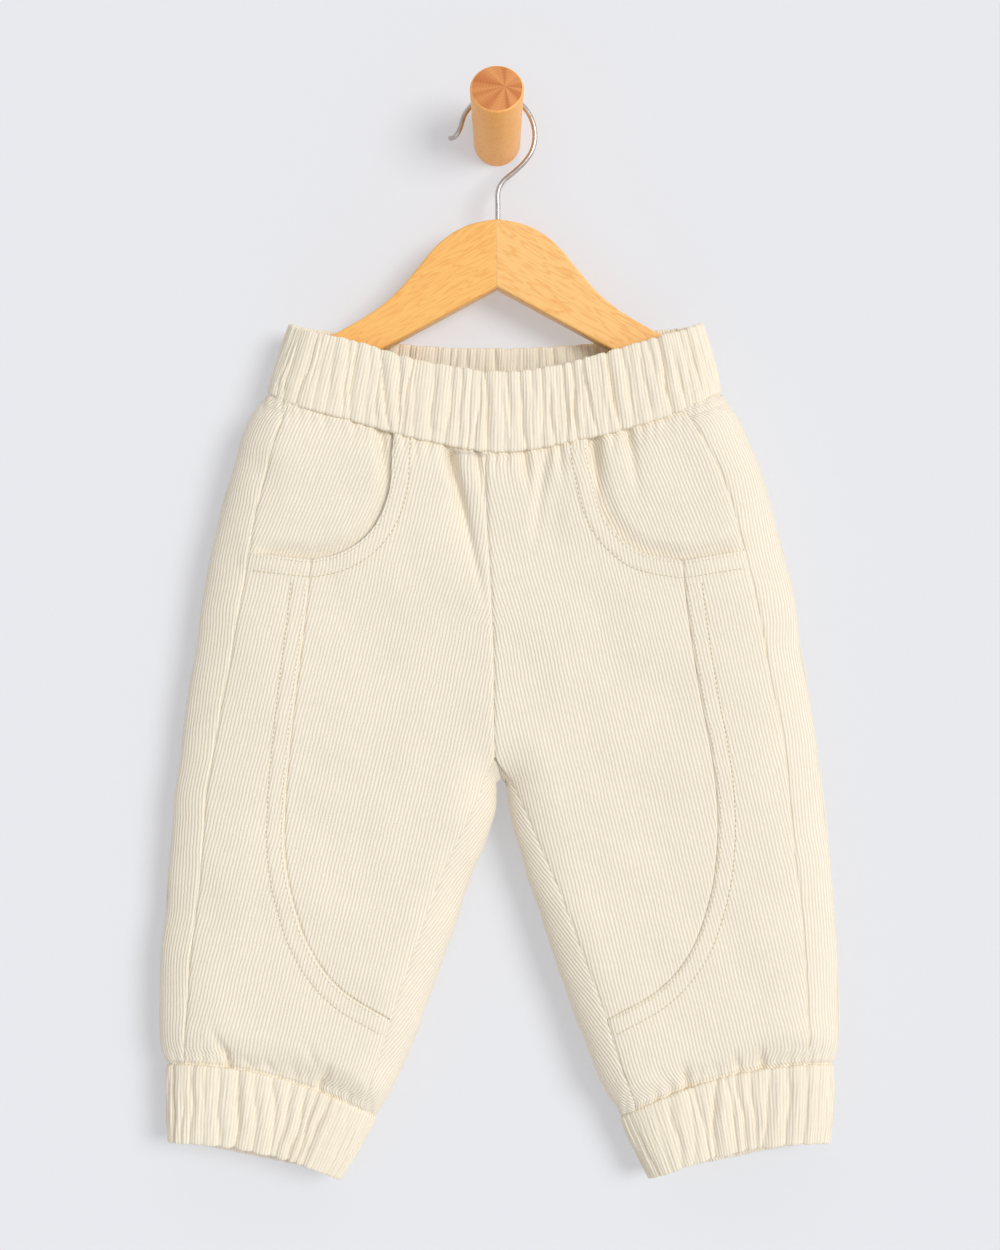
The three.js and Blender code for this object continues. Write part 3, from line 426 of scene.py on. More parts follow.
@dataclass(frozen=True)
class Seams:
    """The seam lines of one side on the front view, as functions of the row number."""

    side: Side

    def inseam(self, row: Array) -> Array:
        """Centre front seam, then the inseam of the leg."""
        return self._line("inseam_x", "inseam_z", row, CROTCH_ROW)

    def curve(self, row: Array) -> Array:
        """Pocket mouth, then the seam that sweeps round the knee and runs into the inseam."""
        swept = self._line("curve_x", "curve_z", row, MOUTH_ROW, MEETING_ROW)
        return np.where((row >= MEETING_ROW)[..., None], self.inseam(row), swept)

    def side_seam(self, row: Array) -> Array:
        """Side seam, from the waist to the cuff."""
        return self._line("side_x", "side_z", row, LAST_ROW)

    def inner_line(self, row: Array) -> Array:
        """Centre back seam down to the notch, then the inner fold of the leg."""
        z = BACK_ROWS.read_rows("inner_z", row, CROTCH_ROW)
        centre = NOTCH_X * smooth_step(row / CROTCH_ROW) + self.inset
        x = np.where(row <= CROTCH_ROW, centre, INNER_FOLD.read("z", self.side.value, z))
        return np.stack([x, z], -1)

    def outer_fold(self, row: Array) -> Array:
        """The outer fold of the leg."""
        z = BACK_ROWS.read_rows("fold_z", row, LAST_ROW)
        return np.stack([OUTER_FOLD.read("z", self.side.value, z), z], -1)

    @property
    def inset(self) -> float:
        """Half the seam gap, signed away from the centre."""
        return self.side.outwards * SEAM_GAP / 2

    def _line(self, x_name: str, z_name: str, row: Array, *corners: int) -> Array:
        """Two columns of the seam table as one line."""
        table = SEAM_ROWS[self.side]
        return np.stack([table.read_rows(name, row, *corners) for name in (x_name, z_name)], -1)

    def sampled(self, line: Line, first: float, last: float, per_row: int = 8) -> Array:
        """Points along one seam line between two rows."""
        return line(np.linspace(first, last, int((last - first) * per_row) + 1))


def beside(line: Line, distance: float, first: float, last: float) -> Line:
    """A line moved sideways on the front view.

    Args:
        line: The line.
        distance: How far, to the right of the line's own way down if it is above zero.
        first: The row where the line starts.
        last: The row where it stops.

    Returns:
        The moved line.
    """
    step = 0.02

    def moved(row: Array) -> Array:
        """Points of the moved line."""
        way = line(np.minimum(last, row + step)) - line(np.maximum(first, row - step))
        way = way / np.linalg.norm(way, axis=-1, keepdims=True)
        return line(row) + distance * np.stack([-way[..., 1], way[..., 0]], -1)

    return moved


@dataclass(frozen=True)
class Ends:
    """Rows where a piece starts and stops, and the edges that its top and bottom follow."""

    first: float
    last: float
    top: Edge | None = None
    bottom: Edge | None = None

    def across(self, start: Line, stop: Line, rows: Array, share: Array) -> Array:
        """Points between two lines, bent so that the piece's ends meet its seams.

        Args:
            start: The first line.
            stop: The second line.
            rows: Row numbers.
            share: Shares of the way from the first line to the second, one for each column, or
                one row of them for each row number.

        Returns:
            Points of the front view, rows by columns by two.
        """
        share = np.broadcast_to(share, (len(rows), share.shape[-1]))[..., None]
        points = start(rows)[:, None] * (1 - share) + stop(rows)[:, None] * share
        span = (rows - self.first) / (self.last - self.first)
        for edge, weight, row in (
            (self.top, (1 - span) ** 2, self.first),
            (self.bottom, span**2, self.last),
        ):
            if edge is not None:
                at = np.array([row], float)
                sewn = start(at)[None] * (1 - share) + stop(at)[None] * share
                points[..., 1] += weight[:, None] * (edge(sewn[..., 0]) - sewn[..., 1])
                upwards = 1.0 if row == self.first else -1.0
                near = 1 - smooth_step(np.abs(rows - row) / RING_OVERLAP_ROWS)
                points[..., 1] += upwards * RING_OVERLAP * near[:, None]
        return points


def sewn_ends(side: Side, is_front: bool, first: float, last: float) -> Ends:
    """Ends of a piece, which meet the gathered ring if they reach the waist or the cuff.

    Args:
        side: The leg.
        is_front: Whether the piece lies on the front.
        first: The row where it starts.
        last: The row where it stops.

    Returns:
        The ends.
    """
    gap = RING_GAP / 2
    top = (lambda x: waist_seam_z(x, is_front) - gap) if first == 0 else None
    bottom = (lambda x: cuff_seam_z(side, x, is_front) + gap) if last == LAST_ROW else None
    return Ends(first, last, top, bottom)


# How unevenly stitches pull: the greatest change, then the wave's beat, bend and drift
SEAM_PULL = (0.25, 2.3, 2.0, 9.0)
TOPSTITCH_PULL = (0.35, 2.9, 1.5, 11.0)


def drifting_wave(at: Array, beat: float, bend: float, drift: float, start: float = 0.0) -> Array:
    """A wave over millimetres, whose beat drifts."""
    return np.sin(at / beat + bend * np.sin(at / drift + start))


def uneven_pull(along: Array, pull: tuple[float, ...]) -> Array:
    """How strongly stitches pull at distances along their row, where 1 is usual."""
    return 1 + pull[0] * drifting_wave(along, *pull[1:])


@dataclass(frozen=True)
class HangingForm:
    """The form that the body of the garment takes as it hangs, with its folds and seams.

    Attributes:
        side: The leg.
        hems: Which folded strips lift this cloth: 0 under the mouth, 1 outside the curved seam.
        ring_roll: How far the cloth turns in at a gathered seam.
        ring_width: Half the width of that turn.
        stitch_trough: How far a row of topstitching pulls the cloth in.
        stitch_width: Half the width of that trough.
        hem_rise: How far the seam allowances under topstitched cloth lift it.
        hem_overrun: How far past its topstitching a strip is lifted.
        sewn_share: Share of a fold's depth that is left at a gathered seam.
        sewn_length: How far from the seam it reaches its full depth.
        calm_length: How far from the seam the cloth hangs freely.
        starts: Where the wave of the front and of the back begins.
        pucker_depth: Depth of the puckers that run out from a gathered seam.
        pucker_length: How far they reach.
        pucker_share: Least share of both.
        pucker_starts: Where the puckers of the waist and of the cuff begin.
        wall_clearance: How far out the back may swell past its plain form.
    """

    side: Side
    hems: tuple[int, ...] = (0, 1)
    ring_roll: float = 1.05
    ring_width: float = 1.25
    stitch_trough: float = 0.42
    stitch_width: float = 0.95
    hem_rise: float = 0.38
    hem_overrun: float = 0.3
    hem_edge: float = 1.2
    sewn_share: float = 0.65
    sewn_length: float = 3.5
    calm_length: float = 12.0
    starts: Pair = (0.7, 2.9)
    pucker_depth: float = 1.0
    pucker_length: float = 9.0
    pucker_share: float = 0.7
    pucker_starts: Pair = (1.3, 4.1)
    wall_clearance: float = 0.3

    def depth_squared(self, x: Array, z: Array, is_front: bool) -> Array:
        """Square of the distance from the mid plane to the cloth.

        Args:
            x: Places across.
            z: Heights.
            is_front: Whether they lie on the front.

        Returns:
            Squares, below zero past a fold.
        """
        outer_x = OUTER_FOLD.read("z", self.side.value, z)
        from_outer = -self.side.outwards * (x - outer_x)
        inner_x = INNER_FOLD.read("z", self.side.value, z)
        from_edge = self.side.outwards * (x - inner_x)
        from_notch = np.hypot(x - NOTCH_X, z - NOTCH_Z) - NOTCH_RADIUS
        from_inner = np.where(z > NOTCH_Z, from_notch, from_edge)
        full = FORM.read("z", "depth", z)
        below_waist = smooth_step((waist_seam_z(x, is_front) - z) / WAIST_PUFF)
        above_cuff = smooth_step((z - cuff_seam_z(self.side, x, is_front)) / CUFF_PUFF)
        upper = WAIST_SEAM_DEPTH + (full - WAIST_SEAM_DEPTH) * below_waist
        depth = CUFF_SEAM_DEPTH + (upper - CUFF_SEAM_DEPTH) * above_cuff
        outer = self._rounding(from_outer, FORM.read("z", "outer_reach", z))
        inner = self._rounding(from_inner, FORM.read("z", "inner_reach", z))
        return depth**2 * outer * inner

    @staticmethod
    def _rounding(distance: Array, reach: Array) -> Array:
        """Share of the squared depth that is left at a distance in from a fold."""
        return np.where(distance >= reach, 1.0, 1 - (1 - distance / reach) ** 2)

    def place(
        self, chart: Array, is_front: bool, drop: Array | float = 0.0
    ) -> tuple[Array, Array]:
        """Puts points of the front view on the hanging cloth.

        Args:
            chart: Points of the front view, last axis x and z.
            is_front: Whether they lie on the front.
            drop: How far in from the outer surface they lie.

        Returns:
            The points, and the way out of the garment at each.
        """
        x, z = chart[..., 0], chart[..., 1]
        step = 0.05
        depth = np.sqrt(np.maximum(0, self.depth_squared(x, z, is_front)))
        over = self.depth_squared(x + step, z, is_front) - self.depth_squared(x - step, z, is_front)
        up = self.depth_squared(x, z + step, is_front) - self.depth_squared(x, z - step, is_front)
        facing = -1.0 if is_front else 1.0
        normal = np.stack([-over / (2 * step), 2 * depth * facing, -up / (2 * step)], -1)
        normal /= np.linalg.norm(normal, axis=-1, keepdims=True)
        point = np.stack([x, MID_PLANE_Y + facing * depth, z], -1)
        inwards = drop + self.relief(chart, is_front)
        return point - normal * np.asarray(inwards)[..., None], normal

    def relief(self, chart: Array, is_front: bool) -> Array:
        """How far folds, seams and puckers push the cloth in.

        Args:
            chart: Points of the front view, last axis x and z.
            is_front: Whether they lie on the front.

        Returns:
            Depths in millimetres.
        """
        x, z = chart[..., 0], chart[..., 1]
        from_waist = np.abs(waist_seam_z(x, is_front) - z)
        from_cuff = np.abs(z - cuff_seam_z(self.side, x, is_front))
        from_ring = np.minimum(from_waist, from_cuff)
        full = self.sewn_share + (1 - self.sewn_share) * smooth_step(from_ring / self.sewn_length)
        depth = full * fold_depth(FRONT_FOLDS if is_front else BACK_FOLDS, x, z)
        waves = rumple(x, z, self.starts[0] if is_front else self.starts[1])
        depth += waves * smooth_step(from_ring / self.calm_length)
        for away, start in zip((from_waist, from_cuff), self.pucker_starts):
            depth += self._puckers(x, away, start)
        roll = self.ring_roll * np.exp(-((from_ring / self.ring_width) ** 2))
        for line, turn, width in self._seam_lines(is_front):
            away, along = distance_to(chart, line)
            pull = turn * uneven_pull(along, SEAM_PULL)
            roll = np.maximum(roll, pull * np.exp(-((away / width) ** 2)))
        depth += roll
        if not is_front:
            return np.maximum(depth, -self.wall_clearance)
        return depth + self._topstitch_troughs(chart) - self._hems(chart)

    def _puckers(self, x: Array, away: Array, start: float) -> Array:
        """Short uneven puckers that run out from a gathered seam.

        Args:
            x: Places across.
            away: Distances from the seam.
            start: Where the pattern begins.

        Returns:
            Depths in millimetres.
        """
        wave = drifting_wave(x, 0.92, 2.2, 7.7, start)
        share = self.pucker_share + (1 - self.pucker_share) * np.sin(x / 9.1 + start)
        reach = self.pucker_length * (self.pucker_share + 0.5 * np.sin(x / 5.3 + 2 * start) ** 2)
        return self.pucker_depth * np.maximum(0, wave * share) * np.exp(-((away / reach) ** 2))

    def _seam_lines(self, is_front: bool) -> list[tuple[Array, float, float]]:
        """Seams that run through this face of the garment.

        Args:
            is_front: Whether the face is the front.

        Returns:
            Each seam's points, how far the cloth turns in there, and half the width of that turn.
        """
        seams = Seams(self.side)
        if not is_front:
            return [(seams.sampled(seams.inner_line, 0, CROTCH_ROW), 0.5, 1.0)]
        return [
            (seams.sampled(seams.inseam, 0, CROTCH_ROW), 0.8, 0.85),
            (seams.sampled(seams.inseam, CROTCH_ROW, LAST_ROW), 0.36, 0.9),
            (seams.sampled(seams.curve, MOUTH_ROW, MEETING_ROW), 0.7, 0.6),
            (seams.sampled(seams.side_seam, 0, LAST_ROW), 0.7, 0.75),
        ]

    def _hems(self, chart: Array) -> Array:
        """How far the folded allowances lift the cloth between an edge and its topstitching.

        Args:
            chart: Points of the front view.

        Returns:
            Heights in millimetres.
        """
        half = TOPSTITCH_WIDTHS[1] / 2
        strips = topstitch_rows(self.side, half)
        total = np.zeros(chart.shape[:-1])
        for number in self.hems:
            away, _ = distance_to(chart, strips[number])
            total = np.maximum(total, 1 - smooth_step((away - half - self.hem_overrun) / self.hem_edge))
        return self.hem_rise * total

    def _topstitch_troughs(self, chart: Array) -> Array:
        """How far the rows of topstitching pull the cloth in.

        Args:
            chart: Points of the front view.

        Returns:
            Depths in millimetres.
        """
        total = np.zeros(chart.shape[:-1])
        for line, drawn in topstitch_lines(self.side):
            away, along = distance_to(chart, line)
            pull = drawn * uneven_pull(along, TOPSTITCH_PULL)
            total = np.maximum(total, pull * np.exp(-((away / self.stitch_width) ** 2)))
        return self.stitch_trough * total


TOPSTITCH_WIDTHS = (1.5, 8.8)  # how far each row of topstitching lies from the seam or edge
TOPSTITCH_PULLS = (0.12, 1.0)  # how strongly each row is drawn into the cloth
HEM_CLEARANCE = 1.5  # between the hem under the mouth and the rows beside the curved seam
INSEAM_CLEARANCE = 1.6
RUN_ON = np.linspace(1.5, 9, 6)[:, None]  # places where a row runs on past the curved seam
SCOOP_ROWS = np.linspace(0.15, MOUTH_ROW - 0.05, 60)
SWEEP_ROWS = np.linspace(MOUTH_ROW + 0.03, MEETING_ROW, 100)
BELOW_SHARES = np.linspace(0.1, 0.97, 12)[:, None]
CORNER_ROWS = 0.02  # how far short of the mouth's corner its line is read


def topstitch_rows(side: Side, width: float) -> list[Array]:
    """Lines that follow the pocket mouth and the curved seam at one distance.

    Args:
        side: The leg.
        width: How far each line lies from the edge or the seam.

    Returns:
        The line under the mouth, then the line outside the curved seam, as front view points.
    """
    seams = Seams(side)
    corner, side_end = seams.curve(AT_MOUTH)[0], seams.side_seam(AT_MOUTH)[0]
    towards_centre = -side.outwards * width
    mouth = beside(seams.curve, towards_centre, 0, MOUTH_ROW - CORNER_ROWS)
    below = (side_end - corner)[None] * BELOW_SHARES + corner
    under_mouth = np.concatenate([mouth(SCOOP_ROWS), below - np.array([0, width])])
    curve = beside(seams.curve, -towards_centre, MOUTH_ROW, MEETING_ROW)
    swept = curve(SWEEP_ROWS)
    swept = swept[swept[:, 1] < corner[1] - TOPSTITCH_WIDTHS[1] - HEM_CLEARANCE]
    way = (swept[-1] - swept[-4]) / np.linalg.norm(swept[-1] - swept[-4])
    whole = np.concatenate([swept, swept[-1] + way * RUN_ON])
    inseam = seams.sampled(seams.inseam, CROTCH_ROW, LAST_ROW)
    limit = np.interp(-whole[:, 1], -inseam[:, 1], inseam[:, 0])
    return [under_mouth, whole[side.outwards * (whole[:, 0] - limit) > INSEAM_CLEARANCE]]


def topstitch_lines(side: Side) -> list[tuple[Array, float]]:
    """Every row of topstitching on one side, and how strongly it is drawn in."""
    rows = zip(TOPSTITCH_WIDTHS, TOPSTITCH_PULLS)
    return [(line, pull) for width, pull in rows for line in topstitch_rows(side, width)]


@dataclass
class Patch:
    """A grid of placed points of one piece of cloth.

    Attributes:
        points: Places in millimetres, rows by columns by three.
        normals: The way out of the garment at each.
        cut: Where each point lies on the flat cut, in millimetres.
    """

    points: Array
    normals: Array
    cut: Array

    def facing_out(self) -> "Patch":
        """The same grid, with its columns turned round if its faces would point in."""
        row, column = (size // 2 for size in self.points.shape[:2])
        right = self.points[row, column + 1] - self.points[row, column]
        up = self.points[row - 1, column] - self.points[row, column]
        if np.dot(np.cross(right, up), self.normals[row, column]) > 0:
            return self
        return Patch(self.points[:, ::-1], self.normals[:, ::-1], self.cut[:, ::-1])


def leaning_cut(across: Array, along: Array, degrees: float) -> Array:
    """Flat cut places whose first number runs across the wales.

    Args:
        across: Distance across the piece.
        along: Height on the piece.
        degrees: How far the wales lean to the right of straight up.

    Returns:
        Places with a last axis of two.
    """
    angle = math.radians(degrees)
    first = across * math.cos(angle) - along * math.sin(angle)
    second = across * math.sin(angle) + along * math.cos(angle)
    return np.stack([first, second], -1)


def grid_mesh(patch: Patch) -> bpy.types.Mesh:
    """Lays a grid over a patch, with the patch's flat cut as its UV map.

    Args:
        patch: The placed points.

    Returns:
        The mesh.
    """
    rows, columns = patch.points.shape[:2]
    grid = bmesh.new()
    bmesh.ops.create_grid(grid, x_segments=columns - 1, y_segments=rows - 1, size=1.0)
    mesh = bpy.data.meshes.new("patch")
    grid.to_mesh(mesh)
    grid.free()
    flat = np.empty(len(mesh.vertices) * 3, np.float32)
    mesh.vertices.foreach_get("co", flat)
    corners = flat.reshape(-1, 3)
    half = np.abs(corners).max()
    column = np.rint((corners[:, 0] / half + 1) / 2 * (columns - 1)).astype(int)
    row = np.rint((1 - corners[:, 1] / half) / 2 * (rows - 1)).astype(int)
    placed = (patch.points[row, column] * MM).astype(np.float32)
    mesh.vertices.foreach_set("co", placed.ravel())
    layer = mesh.uv_layers.new(name=CUT_MAP)
    corner_of = np.empty(len(mesh.loops), np.int32)
    mesh.loops.foreach_get("vertex_index", corner_of)
    cut = (patch.cut[row, column] * MM).astype(np.float32)
    layer.data.foreach_set("uv", cut[corner_of].ravel())
    return mesh


def join_meshes(name: str, meshes: list[bpy.types.Mesh], is_closed: bool) -> Piece:
    """Joins meshes into one object and welds the points that they share.

    Args:
        name: The object's name.
        meshes: Meshes, which are used up.
        is_closed: Whether the result is a closed shell, whose faces are then turned out.

    Returns:
        The object, linked to the scene.
    """
    joined = bmesh.new()
    for mesh in meshes:
        joined.from_mesh(mesh)
        bpy.data.meshes.remove(mesh)
    bmesh.ops.remove_doubles(joined, verts=joined.verts, dist=WELD)
    if is_closed:
        bmesh.ops.recalc_face_normals(joined, faces=joined.faces)
    return linked(name, joined)


def linked(name: str, shape: bmesh.types.BMesh) -> Piece:
    """Makes a smooth-shaded object and links it.

    Args:
        name: The object's name.
        shape: Its bmesh, which is used up.

    Returns:
        The object.
    """
    mesh = bpy.data.meshes.new(name)
    shape.to_mesh(mesh)
    shape.free()
    mesh.shade_smooth()
    piece = bpy.data.objects.new(name, mesh)
    bpy.context.scene.collection.objects.link(piece)
    return piece


def dress(
    piece: Piece, materials: tuple[Material, ...], node: str | None = None
) -> Piece:
    """Args:
        piece: The piece.
        materials: Its materials.
        node: The solid that it replaces.

    Returns:
        The same object.
    """
    for material in materials:
        piece.data.materials.append(material)
    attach(piece, "root")
    if node:
        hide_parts(node)
    LOG.info("%s: %d faces before modifiers", piece.name, len(piece.data.polygons))
    return piece


def dense_shares(width: float, spacing: float) -> Array:
    """Shares of the way across a piece, closer together near both edges.

    Args:
        width: The piece's usual width in millimetres.
        spacing: Distance between columns away from the edges.

    Returns:
        Shares from 0 to 1.
    """
    edge = np.array(EDGE_COLUMNS) / width
    inner = np.linspace(edge[-1], 1 - edge[-1], max(3, int(round(width / spacing))))
    return np.unique(np.concatenate([edge, inner, 1 - edge]))


ONES: Place = (1.0, 1.0, 1.0)
ZEROS: Place = (0.0, 0.0, 0.0)


def darker(colour: Colour, share: float) -> Colour:
    """The same colour, with its brightness multiplied."""
    return tuple(share * value for value in colour[:3]) + (1.0,)


class Shading:
    """Adds nodes to one material and links them."""

    def __init__(self, name: str) -> None:
        """Starts an empty material.

        Args:
            name: The material's name.
        """
        self.material = bpy.data.materials.new(name)
        self.material.use_nodes = True
        self.tree = self.material.node_tree
        self.tree.nodes.clear()

    def node(
        self, kind: str, inputs: dict[str | int, Any] | None = None, **settings: Any
    ) -> bpy.types.Node:
        """Adds a node.

        Args:
            kind: The node's type, without its ShaderNode prefix.
            inputs: A value or another node's output for each input.
            **settings: The node's own properties.

        Returns:
            The node.
        """
        made = self.tree.nodes.new("ShaderNode" + kind)
        for name, value in settings.items():
            setattr(made, name, value)
        for key, value in (inputs or {}).items():
            if isinstance(value, Socket):
                self.tree.links.new(value, made.inputs[key])
            else:
                made.inputs[key].default_value = value
        return made

    def math(self, operation: str, first: Any, second: Any = 0.0, third: Any = 0.0) -> Socket:
        """Works out a number from others."""
        return self.node("Math", {0: first, 1: second, 2: third}, operation=operation).outputs[0]

    def wave(self, kind: str, turn: Any) -> Socket:
        """A sine or cosine, brought to between 0 and 1."""
        return self.math("MULTIPLY_ADD", self.math(kind, turn), 0.5, 0.5)

    def swing(self, wave: Any, amount: float, base: Any) -> Socket:
        """Adds a wave between 0 and 1 to a base, as far down as up."""
        return self.math("MULTIPLY_ADD", self.math("SUBTRACT", wave, 0.5), amount, base)

    def noise(
        self, vector: Any, scale: float, detail: float = 2.0, roughness: float = 0.5
    ) -> Socket:
        """Soft noise between 0 and 1."""
        inputs = {"Vector": vector, "Scale": scale, "Detail": detail, "Roughness": roughness}
        return self.node("TexNoise", inputs).outputs["Fac"]

    def mapped(self, vector: Any, scale: Place = ONES, turn: Place = ZEROS) -> Socket:
        """Places that are turned and stretched."""
        return self.node("Mapping", {0: vector, 2: turn, 3: scale}).outputs[0]

    def bump(self, height: Any, strength: float, distance: float = 0.1) -> Socket:
        """A normal bent by a height, whose distance is in millimetres."""
        inputs = {"Strength": strength, "Distance": distance * MM, "Height": height}
        return self.node("Bump", inputs).outputs[0]

    def blend(self, share: Any, first: Any, second: Any, mode: str = "MIX") -> Socket:
        """Mixes two colours.

        Args:
            share: How much of the second shows.
            first: A colour or another node's output.
            second: The same.
            mode: How they are mixed.

        Returns:
            The mixed colour.
        """
        made = self.node("Mix", data_type="RGBA", blend_type=mode)
        for key, value in ((0, share), (6, first), (7, second)):
            if isinstance(value, Socket):
                self.tree.links.new(value, made.inputs[key])
            else:
                made.inputs[key].default_value = value
        return made.outputs[2]

    def surface(self, values: dict[str, Any]) -> Material:
        """Finishes the material with one shader, given a value for each of its inputs."""
        return self.finish(self.node("BsdfPrincipled", values))

    def finish(self, shader: bpy.types.Node) -> Material:
        """Links the shader to the output and returns the material."""
        self.node("OutputMaterial", {"Surface": shader.outputs[0]})
        return self.material


def srgb(red: int, green: int, blue: int) -> Colour:
    """A screen colour as the linear colour that a shader takes."""
    def linear(value: float) -> float:
        """One channel."""
        return value / 12.92 if value <= 0.04045 else ((value + 0.055) / 1.055) ** 2.4
    return (linear(red / 255), linear(green / 255), linear(blue / 255), 1.0)


@dataclass(frozen=True)
class Corduroy:
    """Fine-waled cotton corduroy.

    Attributes:
        pile: Colour on the crown of a wale.
        shaded_groove: Colour between two wales: the ground cloth's own tone, darkened further as painted
            shade in the hollow.
        wale: Distance from one wale to the next, in millimetres.
        relief: Height of the pile over the ground, in millimetres.
        sheen: Strength of the pile's soft shine.
        wander: How far the wales stray over a hand's width, in millimetres.
        quiver: How far they stray from tuft to tuft.
        crown: How blunt their tops are. 1 is a plain wave.
        tufts: Tufts in a metre, across the wales and along them.
        tuft_height: Their height, as a share of the relief.
        tuft_shade: How far they change the colour from groove to pile.
        mottle: How far the colour drifts from place to place.
        mottle_share: How much of that drift shows.
    """

    name: str
    pile: Colour
    shaded_groove: Colour
    wale: float = 1.8
    relief: float = 0.33
    sheen: float = 0.3
    wander: float = 1.6
    quiver: float = 0.5
    crown: float = 0.6
    tufts: Pair = (3200.0, 1300.0)
    tuft_height: float = 0.32
    tuft_shade: float = 0.5
    mottle: float = 0.09
    mottle_share: float = 0.75

    def material(self) -> Material:
        """Makes the material.

        Returns:
            The material, which reads the flat cut map, so that the wales follow the cloth.
        """
        shading = Shading(self.name)
        cut = shading.node("UVMap", uv_map=CUT_MAP).outputs[0]
        slip = shading.node("SeparateXYZ", {0: cut}).outputs[0]
        slip = shading.math("MULTIPLY_ADD", shading.noise(cut, 60.0), self.wander * MM, slip)
        slip = shading.math("MULTIPLY_ADD", shading.noise(cut, 420.0, 1.0), self.quiver * MM, slip)
        turn = shading.math("MULTIPLY", slip, 2 * math.pi / (self.wale * MM))
        crown = shading.math("POWER", shading.wave("COSINE", turn), self.crown)
        tufts = shading.noise(shading.mapped(cut, (*self.tufts, 1.0)), 1.0)
        height = shading.math("MULTIPLY_ADD", tufts, self.tuft_height, crown)
        # painted shade: the colour follows the wale's height, darkest in the hollows between wales and
        # palest on the crowns, over the ground cloth's own tone
        shade = shading.swing(tufts, self.tuft_shade, crown)
        colour = shading.blend(shading.math("MAXIMUM", 0.0, shade), self.shaded_groove, self.pile)
        drift = shading.math("ADD", shading.noise(cut, 22.0, 3.0, 0.6), shading.noise(cut, 210.0))
        depth = shading.math("MULTIPLY_ADD", drift, self.mottle, 1 - self.mottle)
        tint = shading.node("CombineColor", {0: depth, 1: depth, 2: depth}).outputs[0]
        return shading.surface({
            "Base Color": shading.blend(self.mottle_share, colour, tint, "MULTIPLY"),
            "Roughness": 0.92,
            "Normal": shading.bump(height, 0.8, self.relief),
            "Sheen Weight": self.sheen,
            "Sheen Roughness": 0.45,
            "Sheen Tint": (1.0, 0.97, 0.9, 1.0),
            "Specular IOR Level": 0.18,
        })


@dataclass(frozen=True)
class Thread:
    """Twisted sewing thread, with painted shade between two strands: its colour darkens where the
    twist's bump is low.
    """

    name: str
    colour: Colour
    twists: float = 3300.0
    # brightness of the painted shade between the strands
    shade: float = 0.82

    def material(self) -> Material:
        """Makes the material, with a fine twist across each stitch."""
        shading = Shading(self.name)
        twist = shading.noise(shading.node("TexCoord").outputs["Object"], self.twists)
        # painted shade: the colour darkens with the twist's bump, between the strands
        return shading.surface({
            "Base Color": shading.blend(twist, darker(self.colour, self.shade), self.colour),
            "Roughness": 0.7,
            "Normal": shading.bump(twist, 0.5),
        })


@dataclass(frozen=True)
class Wood:
    """Varnished softwood.

    Attributes:
        light: Colour of the early wood.
        dark: Colour of the grain lines.
        turn: How far the grain is turned about the Y axis, in degrees.
        tilt: How far it is turned about the X axis, in degrees.
        gloss: Weight of the varnish.
        rings: How closely the grain lines lie.
        thinness: How thin they are.
        lines: How strongly they show, as the fibres and patches do below.
    """

    name: str
    light: Colour
    dark: Colour
    turn: float = 0.0
    tilt: float = 0.0
    gloss: float = 0.3
    rings: float = 46.0
    thinness: float = 3.0
    lines: float = 0.55
    fibres: float = 0.35
    patches: float = 0.6

    def material(self) -> Material:
        """Makes the material.

        Returns:
            The material, whose grain runs along X once the pattern is turned.
        """
        shading = Shading(self.name)
        angles = (math.radians(self.tilt), math.radians(self.turn), 0.0)
        turned = shading.mapped(shading.node("TexCoord").outputs["Object"], turn=angles)
        bands = shading.noise(shading.mapped(turned, (9.0, 60.0, 60.0)), 3.4, 2.0, 0.55)
        rings = shading.wave("SINE", shading.math("MULTIPLY", bands, self.rings))
        fibres = shading.noise(shading.mapped(turned, (60.0, 1900.0, 1900.0)), 1.0, 3.0, 0.6)
        patches = shading.noise(shading.mapped(turned, (12.0, 45.0, 45.0)), 1.0)
        share = shading.math("MULTIPLY", shading.math("POWER", rings, self.thinness), self.lines)
        share = shading.swing(patches, self.patches, shading.swing(fibres, self.fibres, share))
        share = shading.node("Clamp", {0: share}).outputs[0]
        return shading.surface({
            "Base Color": shading.blend(share, self.light, self.dark),
            "Roughness": 0.42,
            "Normal": shading.bump(fibres, 0.25),
            "Coat Weight": self.gloss,
            "Coat Roughness": 0.28,
        })


